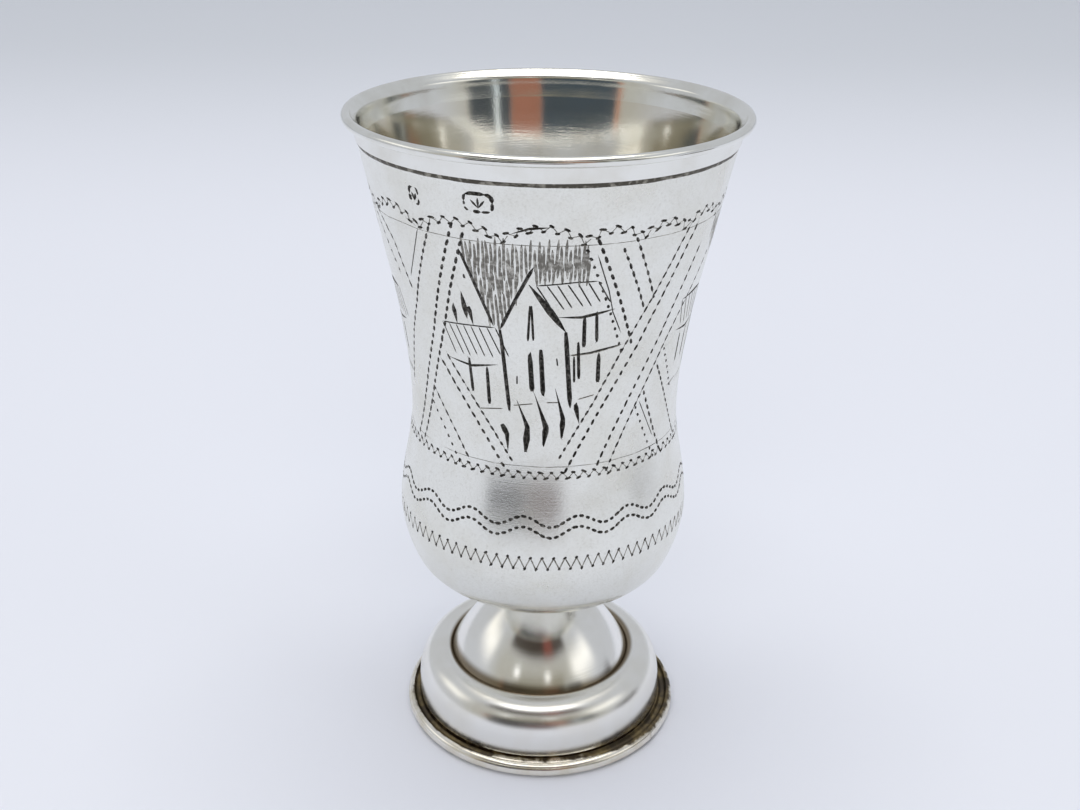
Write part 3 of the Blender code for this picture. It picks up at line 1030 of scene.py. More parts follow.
@dataclass(frozen=True)
class Borders:
    """The rows around the bowl: scallops over the pictures, a ring under them, waves and zigzag."""

    scallop_foot: float = 75.0
    scallop_rise: float = 1.65
    seen_troughs: tuple[float, ...] = (-67.0, -42.5, -13.6, 11.2, 29.7, 47.0, 66.0)
    hidden_scallops: int = 10
    ring_height: float = 44.65
    scribed_heights: Point = (74.6, 45.75)
    scribed_width: float = 0.08
    waves: int = 17
    wave_trough: float = 3.2
    wave_height: float = 38.85
    wave_swing: float = 0.68
    wave_gap: float = 1.35
    teeth: int = 84
    tooth_low: float = 32.55
    tooth_high: float = 34.1

    def engrave(self, wall: Wall) -> None:
        """Cut every row."""
        scallops = self.scallops()
        ring = tuple((angle, self.ring_height) for angle in range(-180, 181, 5))
        for path in (scallops, ring):
            wall.row([path], BORDER_DOT)
            wall.row([path], BORDER_LINK, Shape.LINE)
        for height in self.scribed_heights:
            for angle in range(-180, 180, 20):
                line = ((angle, height), (angle + 20.5, height))
                wall.cut(line, self.scribed_width, Shape.LINE, rubbed=True)
        for drop in (0.0, self.wave_gap):
            wall.row([self.wave(drop)], WAVE_DASH)
        self.zigzag(wall)

    def scallops(self) -> Line:
        """Return the scalloped path: spaced as listed where it is seen, evenly spaced behind."""
        last, first = self.seen_troughs[-1], self.seen_troughs[0] + 360
        step = (first - last) / self.hidden_scallops
        troughs = list(self.seen_troughs) + [last + step * (i + 1) for i in range(self.hidden_scallops)]
        path = []
        for left, right in zip(troughs, troughs[1:]):
            for part in range(10):
                share = part / 10
                arch = math.sin(math.pi * share) ** 0.8 * self.scallop_rise * min(1.0, (right - left) / 24)
                path.append((left + (right - left) * share, self.scallop_foot + arch))
        path.append((troughs[-1], self.scallop_foot))
        return tuple(path)

    def wave(self, drop: float) -> Line:
        """Return one wave line, lowered by drop."""
        path = []
        for step in range(self.waves * 8 + 1):
            angle = -180 + 360 * step / (self.waves * 8)
            phase = math.radians((angle - self.wave_trough) * self.waves)
            path.append((angle, self.wave_height - drop - self.wave_swing * math.cos(phase)))
        return tuple(path)

    def zigzag(self, wall: Wall) -> None:
        """Cut the fine zigzag, with a small dot at each of its points."""
        half = self.tooth_high - self.tooth_low
        pitch = wall.round / self.teeth / 2
        middle = (self.tooth_high + self.tooth_low) / 2
        path = tuple((angle, middle) for angle in range(-180, 181, 5))
        slope = math.degrees(math.atan2(half, pitch))
        link = Cutter(pitch=pitch, length=math.hypot(half, pitch), width=0.17, depth=0.06, sway=half / 2,
                      anchor=0.0, zig=-slope, length_spread=0.04, turn_spread=2, rubbed=True)
        dot = Cutter(pitch=pitch, length=0.44, width=0.34, depth=0.12, sway=half / 2, turn=60, turn_spread=25)
        wall.row([path], link, Shape.LINE)
        wall.row([path], dot)


@dataclass(frozen=True)
class PunchMark:
    """A small worn punched mark without letters: what is left of a frame, around a sprig.

    Each piece of the frame is given by its two turns in degrees and its width in millimetres.
    """

    centre: Point
    width: float
    height: float
    frame: tuple[tuple[float, float, float], ...]
    leaves: tuple[float, ...] = (-0.3, 0.0, 0.3)
    leaf_width: float = 0.3

    def engrave(self, wall: Wall) -> None:
        """Cut the frame's pieces and the sprig's flicks."""
        for start, end, line_width in self.frame:
            turns = [start + (end - start) * step / 4 for step in range(5)]
            wall.cut(tuple(self.on_frame(wall, turn) for turn in turns), line_width, Shape.DASH)
        foot = (self.centre[0], self.centre[1] - self.height * 0.3)
        degrees = math.degrees(1 / wall.radius)
        for lean in self.leaves:
            tip = (self.centre[0] + lean * self.width * degrees,
                   self.centre[1] + self.height * (0.28 - abs(lean) * 0.5))
            wall.cut((foot, tip), self.leaf_width, Shape.FLICK)

    def on_frame(self, wall: Wall, turn: float) -> Point:
        """Return the point of the rounded frame at a turn, in degrees around the wall and height."""
        across, up = math.cos(math.radians(turn)), math.sin(math.radians(turn))
        square = (abs(across) ** 4 + abs(up) ** 4) ** -0.25
        return (self.centre[0] + math.degrees(self.width / 2 * across * square / wall.radius),
                self.centre[1] + self.height / 2 * up * square)


@dataclass
class Bowl:
    """The spun bowl: a thin wall with a flat bottom, polished inside and engraved outside."""

    wall: float = 0.6
    bottom_radius: float = 4.8
    bottom_height: float = 18.3
    stations: tuple[Point, ...] = (
        (14.0, 4.6), (17.2, 3.1), (18.95, 7.4), (17.15, 13.4), (18.1, 11.9), (20.3, 11.3), (22.75, 11.6))
    columns: int = 144
    row_gap: float = 0.85
    zone_bottom: float = 30.5
    mean_radius: float = 19.0
    first_panel: float = -8.0
    steps: int = 10

    def outline(self) -> list[Point]:
        """Return the outside from the edge of the flat bottom up to the mouth."""
        stations = [(self.bottom_radius, self.bottom_height)]
        for radius, rise in self.stations:
            stations.append((radius, stations[-1][1] + rise))
        return smooth_line(stations, self.steps)

    def engraved_wall(self) -> Wall:
        """Lay out every cut on the unrolled wall."""
        wall = Wall(self.mean_radius)
        Borders().engrave(wall)
        for half_turn in (0, 180):
            for crossing in (LEFT_CROSSING, RIGHT_CROSSING):
                replace(crossing, centre=crossing.centre + half_turn).engrave(wall)
        pictures = (FRONT_VILLAGE, hidden_village(3.0, 1.0), hidden_village(-2.0, -1.0),
                    hidden_village(4.0, -1.0))
        for quarter, picture in enumerate(pictures):
            picture.engrave(wall, self.first_panel + 90 * quarter)
        wall.cut(((-10.2, 75.9), (-5.0, 76.6), (0.8, 76.8)), 0.32, Shape.FLICK)
        narrow = ((170, 100, 0.32), (215, 180, 0.4), (60, 10, 0.24), (-20, -80, 0.28))
        PunchMark((-41.2, 78.7), 1.1, 2.0, narrow, (-0.2, 0.25), 0.34).engrave(wall)
        wide = ((172, 138, 0.3), (135, 62, 0.46), (64, 8, 0.46), (4, -40, 0.34), (-48, -78, 0.3),
                (-84, -112, 0.42), (-128, -150, 0.24), (200, 178, 0.24))
        PunchMark((-19.4, 79.2), 2.8, 2.1, wide, (-0.26, 0.0, 0.24), 0.26).engrave(wall)
        return wall

    def build(self, silver: bpy.types.Material, cut: bpy.types.Material, inside: bpy.types.Material,
              rubbed: bpy.types.Material) -> bpy.types.Object:
        """Build the bowl's closed mesh.

        Args:
            silver: The outside's finish.
            cut: The finish of the deep engraved grooves.
            inside: The polished inside's finish.
            rubbed: The finish of the fine grooves, which are rubbed nearly clean.

        Returns:
            The bowl, with the four materials.
        """
        wall = self.engraved_wall()
        cuts = wall.wrapped()
        LOG.info("bowl: %d cuts", len(cuts))
        outline = self.outline()
        skin = EngravedSkin(wall, cuts, outline, self.zone_bottom, self.columns, self.row_gap)
        skin.carve()
        below = [point for point in outline if point[1] < self.zone_bottom - 0.1]
        inner = inset(outline, self.wall)
        inner[-1] = (inner[-1][0], outline[-1][1])
        floor = outline[0][1] + self.wall
        inner[0] = (inner[0][0], floor)
        skin.close(below, inner, floor)
        return skin.piece("bowl_shell", (silver, cut, inside, rubbed))


class EngravedSkin:
    """A turned wall whose outside is triangulated around its grooves."""

    def __init__(self, wall: Wall, cuts: list[Cut], outline: list[Point], bottom: float, columns: int,
                 row_gap: float) -> None:
        """Keep the wall, its cuts and the outline that it is wrapped on."""
        self.wall = wall
        self.cuts = cuts
        self.outline = outline
        self.bottom = bottom
        self.top = outline[-1][1]
        self.columns = columns
        self.row_gap = row_gap
        self.cell = 1.0
        self.near: dict[tuple[int, int], list[Cut]] = {}
        self.vertices: list[tuple[float, float, float]] = []
        self.normals: list[tuple[float, float, float] | None] = []
        self.faces: list[tuple[int, ...]] = []
        self.finishes: list[int] = []
        self.bottom_ring: list[int] = []
        self.top_ring: list[int] = []
        for item in cuts:
            self.remember(item)

    def remember(self, cut: Cut) -> None:
        """Note a cut in every cell of the wall that it may reach."""
        reach = cut.width
        xs = [x for x, _, _ in cut.stations]
        ys = [y for _, y, _ in cut.stations]
        for column in range(int((min(xs) - reach) // self.cell), int((max(xs) + reach) // self.cell) + 1):
            for row in range(int((min(ys) - reach) // self.cell), int((max(ys) + reach) // self.cell) + 1):
                self.near.setdefault((column, row), []).append(cut)

    def deepest(self, x: float, y: float) -> tuple[float, bool]:
        """Return how deep the deepest groove is at a point of the unrolled wall, and whether it is rubbed."""
        cell = (int(x // self.cell), int(y // self.cell))
        found = [(cut.depth_at(x, y), cut.rubbed) for cut in self.near.get(cell, ())]
        return max(found, default=(0.0, False))

    def station(self, height: float) -> tuple[float, float, float]:
        """Return the radius and the outward normal at a height, as radius, out and up."""
        line = self.outline
        low, high = 0, len(line) - 1
        while high - low > 1:
            middle = (low + high) // 2
            if line[middle][1] <= height:
                low = middle
            else:
                high = middle
        share = (height - line[low][1]) / (line[high][1] - line[low][1])
        radius = line[low][0] + (line[high][0] - line[low][0]) * share
        slopes = []
        for index in (low, high):
            before, after = line[max(index - 1, 0)], line[min(index + 1, len(line) - 1)]
            slopes.append((after[0] - before[0]) / (after[1] - before[1]))
        slope = slopes[0] + (slopes[1] - slopes[0]) * share
        length = math.hypot(1.0, slope)
        return radius, 1 / length, -slope / length

    def wrap(self, x: float, y: float) -> int:
        """Add the vertex of a point of the unrolled wall, sunk into its groove, and return its number."""
        radius, out, up = self.station(y)
        sunk = self.deepest(x, y)[0]
        angle = x / self.wall.radius - math.pi / 2
        away = (radius - sunk * out) * MILLIMETRE
        self.vertices.append((away * math.cos(angle), away * math.sin(angle), (y - sunk * up) * MILLIMETRE))
        self.normals.append((out * math.cos(angle), out * math.sin(angle), up))
        return len(self.vertices) - 1

    def carve(self) -> None:
        """Triangulate the unrolled wall with every groove's edge and middle line, and wrap it."""
        half = self.wall.round / 2
        points: list[Point] = []
        edges: list[tuple[int, int]] = []
        rows = max(2, round((self.top - self.bottom) / self.row_gap))
        for row in range(rows + 1):
            height = self.bottom + (self.top - self.bottom) * row / rows
            for column in range(self.columns + 1):
                x = -half + self.wall.round * column / self.columns
                rim = row in (0, rows) or column in (0, self.columns)
                if rim or self.deepest(x, height)[0] == 0.0:
                    points.append((x, height))
        frame = self.frame_edges(points, half)
        edges += frame
        for cut in self.cuts:
            first = len(points)
            loop = cut.outline()
            points += loop
            edges += [(first + i, first + (i + 1) % len(loop)) for i in range(len(loop))]
            first = len(points)
            points += [(x, y) for x, y, _ in cut.stations]
            edges += [(i, i + 1) for i in range(first, len(points) - 1)]
        flat = [Vector(point) for point in points]
        made = geometry.delaunay_2d_cdt(flat, edges, [], 0, 1e-5, False)
        self.keep(made[0], made[2], half)

    def frame_edges(self, points: list[Point], half: float) -> list[tuple[int, int]]:
        """Return the edges along the unrolled wall's four sides."""
        sides = (
            sorted((p[0], i) for i, p in enumerate(points) if p[1] == self.bottom),
            sorted((p[0], i) for i, p in enumerate(points) if p[1] == self.top),
            sorted((p[1], i) for i, p in enumerate(points) if p[0] == -half),
            sorted((p[1], i) for i, p in enumerate(points) if abs(p[0] - half) < 1e-9),
        )
        return [(a[1], b[1]) for side in sides for a, b in zip(side, side[1:])]

    def keep(self, flat: list[Vector], triangles: list[list[int]], half: float) -> None:
        """Wrap the triangles inside the turn, joining its two ends."""
        number: dict[int, int] = {}
        start = [i for i, point in enumerate(flat) if abs(point.x + half) < 1e-3]
        for index in start:
            number[index] = self.wrap(flat[index].x, flat[index].y)
        for index, point in enumerate(flat):
            if abs(point.x - half) < 1e-3:
                twin = min(start, key=lambda other, y=point.y: abs(flat[other].y - y))
                number[index] = number[twin]
        for triangle in triangles:
            x = sum(flat[i].x for i in triangle) / 3
            y = sum(flat[i].y for i in triangle) / 3
            if abs(x) > half or not self.bottom < y < self.top:
                continue
            for index in triangle:
                if index not in number:
                    number[index] = self.wrap(flat[index].x, flat[index].y)
            corners = tuple(number[index] for index in triangle)
            if len(set(corners)) == 3:
                depth, rubbed = self.deepest(x, y)
                self.faces.append(corners)
                self.finishes.append(0 if depth == 0 else 3 if rubbed else 1)
        for ring, height in ((self.bottom_ring, self.bottom), (self.top_ring, self.top)):
            placed = sorted((flat[i].x, n) for i, n in number.items()
                            if abs(flat[i].y - height) < 1e-3 and flat[i].x < half - 1e-3)
            ring += [n for _, n in placed]

    def ring(self, radius: float, height: float) -> list[int]:
        """Add a plain ring of vertices and return their numbers."""
        first = len(self.vertices)
        for column in range(self.columns):
            angle = math.tau * column / self.columns - math.pi * 1.5
            self.vertices.append((radius * MILLIMETRE * math.cos(angle),
                                  radius * MILLIMETRE * math.sin(angle),
                                  height * MILLIMETRE))
            self.normals.append(None)
        return list(range(first, len(self.vertices)))

    def band(self, lower: list[int], upper: list[int], finish: int) -> None:
        """Join two rings with quads that face away from the metal."""
        for column in range(self.columns):
            after = (column + 1) % self.columns
            self.faces.append((lower[column], lower[after], upper[after], upper[column]))
            self.finishes.append(finish)

    def close(self, below: list[Point], inner: list[Point], floor: float) -> None:
        """Add the underside, the mouth's edge and the inside, which make the wall a closed solid.

        Args:
            below: The outside's points under the engraved wall, from the bottom up.
            inner: The inside's points from the floor up to the mouth.
            floor: The height of the inside's floor.
        """
        rings = [self.ring(radius, height) for radius, height in below] + [self.bottom_ring]
        for lower, upper in zip(rings, rings[1:]):
            self.band(lower, upper, 0)
        inside = [self.ring(radius, height) for radius, height in inner]
        self.band(self.top_ring, inside[-1], 0)
        for upper, lower in zip(inside[::-1], inside[-2::-1]):
            self.band(upper, lower, 2)
        for height, ring, finish in ((below[0][1], rings[0], 0), (floor, inside[0], 2)):
            self.vertices.append((0.0, 0.0, height * MILLIMETRE))
            self.normals.append(None)
            pole = len(self.vertices) - 1
            for column in range(self.columns):
                after = (column + 1) % self.columns
                pair = (ring[after], ring[column]) if finish == 0 else (ring[column], ring[after])
                corners = (*pair, pole)
                self.faces.append(corners)
                self.finishes.append(finish)

    def piece(self, name: str, materials: tuple[bpy.types.Material, ...]) -> bpy.types.Object:
        """Make the object, with flat grooves and true normals on the smooth wall."""
        mesh = bpy.data.meshes.new(name)
        mesh.from_pydata(self.vertices, [], self.faces)
        for material in materials:
            mesh.materials.append(material)
        mesh.polygons.foreach_set("material_index", self.finishes)
        mesh.shade_smooth()
        mesh.set_sharp_from_angle(angle=math.radians(40))
        loops = []
        for face in mesh.polygons:
            groove = face.material_index in (1, 3)
            for index in face.vertices:
                known = self.normals[index]
                plain = self.normals[index] is None or face.material_index == 2 or not self.on_wall(face)
                loops.append(face.normal[:] if groove else (0.0, 0.0, 0.0) if plain else known)
        mesh.normals_split_custom_set(loops)
        piece = bpy.data.objects.new(name, mesh)
        bpy.context.collection.objects.link(piece)
        return piece

    def on_wall(self, face: bpy.types.MeshPolygon) -> bool:
        """Return whether a face belongs to the engraved outside."""
        return all(self.normals[index] is not None for index in face.vertices)


@dataclass
class LipRing:
    """The drawn moulding on the bowl's edge: a flat band under a round bead."""

    mouth_radius: float = 22.75
    wall: float = 0.6
    bottom: float = 81.9
    band_overhang: float = 0.25
    band_height: float = 1.9
    band_flare: float = 0.35
    bead_radius: float = 0.6
    bead_overhang: float = 0.55
    throat_height: float = 2.2

    def section(self) -> list[Point]:
        """Return the moulding's closed section."""
        band_bottom = self.mouth_radius + self.band_overhang
        band_top = band_bottom + self.band_flare
        centre = (band_top + self.bead_overhang, self.bottom + self.band_height + self.bead_radius)
        bead = ellipse_arc(centre, self.bead_radius, self.bead_radius, -120, 150, 24)
        inner = self.mouth_radius - self.wall
        throat_top = (centre[0] - 2 * self.bead_radius, self.bottom + self.throat_height)
        throat = smooth_line([
            bead[-1], (throat_top[0] + 0.2, throat_top[1] + 0.22),
            (throat_top[0] - 0.02, throat_top[1] - 0.1),
            (inner + 0.34, self.bottom + self.throat_height * 0.5), (inner + 0.07, self.bottom)], 5)
        outer = [(band_bottom, self.bottom), (band_bottom + 0.06, self.bottom + 0.25),
                 (band_bottom + self.band_flare * 0.5, self.bottom + self.band_height * 0.55),
                 (band_top, self.bottom + self.band_height)]
        lap = [(inner - 0.03, self.bottom - 0.35), (inner + 0.1, self.bottom - 0.35)]
        return outer + bead + throat[1:-1] + lap + [(inner + 0.1, self.bottom)]

    def build(self, lathe: Lathe, silver: bpy.types.Material) -> bpy.types.Object:
        """Turn the moulding."""
        return lathe.turned("lip_moulding", self.section(), silver, 192, unevenness=0.05, waves=5.0, seed=2.0)


@dataclass
class Foot:
    """The hollow foot: an upright skirt, a rounded shoulder, a crease and a mirror-bright dome."""

    wall: float = 0.6
    skirt_radius: float = 17.0
    skirt_bottom: float = 2.3
    skirt_height: float = 2.2
    shoulder_rise: float = 4.7
    shoulder_width: float = 3.4
    crease_width: float = 1.2
    crease_drop: float = 0.45
    dome_rise: float = 8.65
    dome_bulge: float = 0.6
    collar_radius: float = 4.8
    collar_step_width: float = 0.4
    collar_step_height: float = 0.3
    collar_height: float = 0.3
    side_shift: float = -0.2

    def outline(self) -> list[Point]:
        """Return the outside from the skirt's lower edge up to the collar's top edge."""
        shoulder_bottom = self.skirt_bottom + self.skirt_height
        crest_radius = self.skirt_radius - self.shoulder_width
        crest_height = shoulder_bottom + self.shoulder_rise
        crease = (crest_radius - self.crease_width, crest_height - self.crease_drop)
        dome_top = (self.collar_radius + self.collar_step_width, crease[1] + self.dome_rise)
        step_top = dome_top[1] + self.collar_step_height
        shoulder = ellipse_arc((crest_radius, shoulder_bottom), self.shoulder_width, self.shoulder_rise,
                               0, 90, 20)
        fall = ellipse_arc((crest_radius, crease[1]), self.crease_width, self.crease_drop, 90, 180, 8)
        dome = bulged_line(crease, dome_top, self.dome_bulge, 20)
        collar = [(self.collar_radius + 0.15, dome_top[1] + 0.1),
                  (self.collar_radius + 0.05, step_top - 0.08),
                  (self.collar_radius, step_top), (self.collar_radius, step_top + self.collar_height)]
        return [(self.skirt_radius, self.skirt_bottom)] + shoulder + fall[1:-1] + dome + collar

    def section(self) -> list[Point]:
        """Return the shell's closed section."""
        outside = self.outline()
        inside = inset(outside[:-4], self.wall)
        inside[0] = (inside[0][0], outside[0][1])
        ceiling = outside[-1][1] - self.wall
        inside.append((self.collar_radius - self.wall, ceiling))
        return outside + [(0.0, outside[-1][1]), (0.0, ceiling)] + inside[::-1]

    def build(self, lathe: Lathe, silver: bpy.types.Material) -> bpy.types.Object:
        """Turn the foot."""
        return lathe.turned("foot_shell", self.section(), silver, 160, side_shift=self.side_shift)


@dataclass
class BaseRing:
    """The flat ring under the foot, rounded outside, with a shallow channel around the foot."""

    outer_radius: float = 19.0
    opening_radius: float = 15.2
    height: float = 2.0
    round_below: float = 1.4
    round_above: float = 0.8
    channel_width: float = 1.1
    channel_depth: float = 0.45

    def section(self) -> list[Point]:
        """Return the ring's closed section."""
        half = self.height / 2
        foot_edge = (self.outer_radius - self.round_below, half)
        top_edge = (self.outer_radius - self.round_above, half)
        below = ellipse_arc(foot_edge, self.round_below, half, -90, 0, 8)
        above = ellipse_arc(top_edge, self.round_above, half, 0, 90, 8)
        floor = self.height - self.channel_depth
        channel = smooth_line([
            above[-1], (top_edge[0] - self.channel_width * 0.25, floor),
            (top_edge[0] - self.channel_width * 0.75, floor),
            (top_edge[0] - self.channel_width, self.height)], 4)
        inside_top = [(self.opening_radius, self.height)]
        return [(self.opening_radius, 0.0)] + below + above[1:] + channel[1:] + inside_top

    def build(self, lathe: Lathe, silver: bpy.types.Material) -> bpy.types.Object:
        """Turn the ring."""
        return lathe.turned("base_band", self.section(), silver, 160, unevenness=0.08, waves=4.0, seed=5.0)


@dataclass
class SolderSeams:
    """The three soldered joints: under the lip moulding, at the neck and around the skirt. The lip and neck
    seams are dark solder sized to also paint the shade under the lip band and under the bowl.
    """

    # The lip seam: a real joint whose dark also paints the shade under the lip band's overhang.
    lip: tuple[Point, ...] = (
        (22.3, 81.55), (22.3, 81.92), (22.98, 81.92), (22.97, 81.76), (22.9, 81.6), (22.82, 81.44),
        (22.72, 81.28),
        (22.6, 81.13), (22.3, 81.13))
    # The neck seam: a real joint, made darker and wider so that it also paints the shadow line under the
    # bowl.
    neck: tuple[Point, ...] = (
        (4.2, 17.75), (4.82, 17.75), (4.95, 18.0), (5.1, 18.2), (5.35, 18.4), (5.2, 18.6), (4.2, 18.5))
    skirt: tuple[Point, ...] = (
        (16.4, 1.8), (17.14, 1.8), (17.1, 2.05), (17.04, 2.25), (16.98, 2.42), (16.6, 2.42), (16.4, 2.3))

    def build(self, lathe: Lathe, dark: bpy.types.Material,
              brown: bpy.types.Material) -> list[bpy.types.Object]:
        """Turn the three seams, the lip and neck seams in the dark solder that also paints shade."""
        return [
            lathe.turned("lip_solder_and_shade", list(self.lip), dark, unevenness=0.16, waves=7.0, seed=1.0),
            lathe.turned("neck_solder_and_shade", list(self.neck), dark, 96, unevenness=0.1, waves=4.0, seed=3.0),
            lathe.turned("skirt_solder", list(self.skirt), brown, unevenness=0.12, waves=9.0, seed=4.0,
                         side_shift=-0.2),
        ]


@dataclass(frozen=True)
class RoomPatch:
    """A soft patch of the room that the polished metal mirrors, in degrees seen from the cup.

    Azimuth 0 is the side that faces the camera, positive to the right; elevation 90 is overhead.
    """

    azimuth: float
    half_width: float
    elevation: float
    half_height: float
    softness: float
    colour: str
    strength: float


@dataclass(frozen=True)
class FloorCard:
    """A low dark card that stands on the floor, curved around the cup, which only reflections show."""

    azimuth: float
    half_width: float
    distance: float
    height: float
    colour: str
    cover: float = 1.0
    edge: float = 0.45
    steps: int = 24

    def stand(self) -> None:
        """Make the card, which thins out towards its sides and its top."""
        corners, faces, covers = [], [], []
        for step in range(self.steps + 1):
            for row in range(self.steps + 1):
                across, up = 2 * step / self.steps - 1, row / self.steps
                turn = math.radians(self.azimuth + self.half_width * across)
                corners.append((self.distance * math.sin(turn), -self.distance * math.cos(turn),
                                self.height * up))
                covers.append(self.cover * self.fade(1 - abs(across)) * self.fade(1 - up))
        for step in range(self.steps):
            for row in range(self.steps):
                first = step * (self.steps + 1) + row
                faces.append((first, first + self.steps + 1, first + self.steps + 2, first + 1))
        mesh = bpy.data.meshes.new("card")
        mesh.from_pydata(corners, [], faces)
        mesh.attributes.new("cover", "FLOAT", "POINT").data.foreach_set("value", covers)
        mesh.materials.append(self.material())
        card = bpy.data.objects.new("card", mesh)
        card.visible_camera = False
        card.visible_shadow = False
        card.visible_diffuse = False
        bpy.context.collection.objects.link(card)

    def fade(self, inward: float) -> float:
        """Return how much of the card is left at a share of the way in from its edge."""
        share = min(1.0, inward / self.edge)
        return share * share * (3 - 2 * share)

    def material(self) -> bpy.types.Material:
        """Return dark felt that lets the room through where the card thins out."""
        material = bpy.data.materials.new("dark felt card")
        material.use_nodes = True
        tree = material.node_tree
        felt = tree.nodes["Principled BSDF"]
        felt.inputs["Base Color"].default_value = linear(self.colour)
        felt.inputs["Roughness"].default_value = 1.0
        clear = add(tree, "ShaderNodeBsdfTransparent")
        cover = add(tree, "ShaderNodeAttribute", attribute_name="cover")
        mix = add(tree, "ShaderNodeMixShader", {
            0: cover.outputs["Fac"], 1: clear.outputs[0], 2: felt.outputs[0]})
        tree.links.new(mix.outputs[0], tree.nodes["Material Output"].inputs["Surface"])
        return material


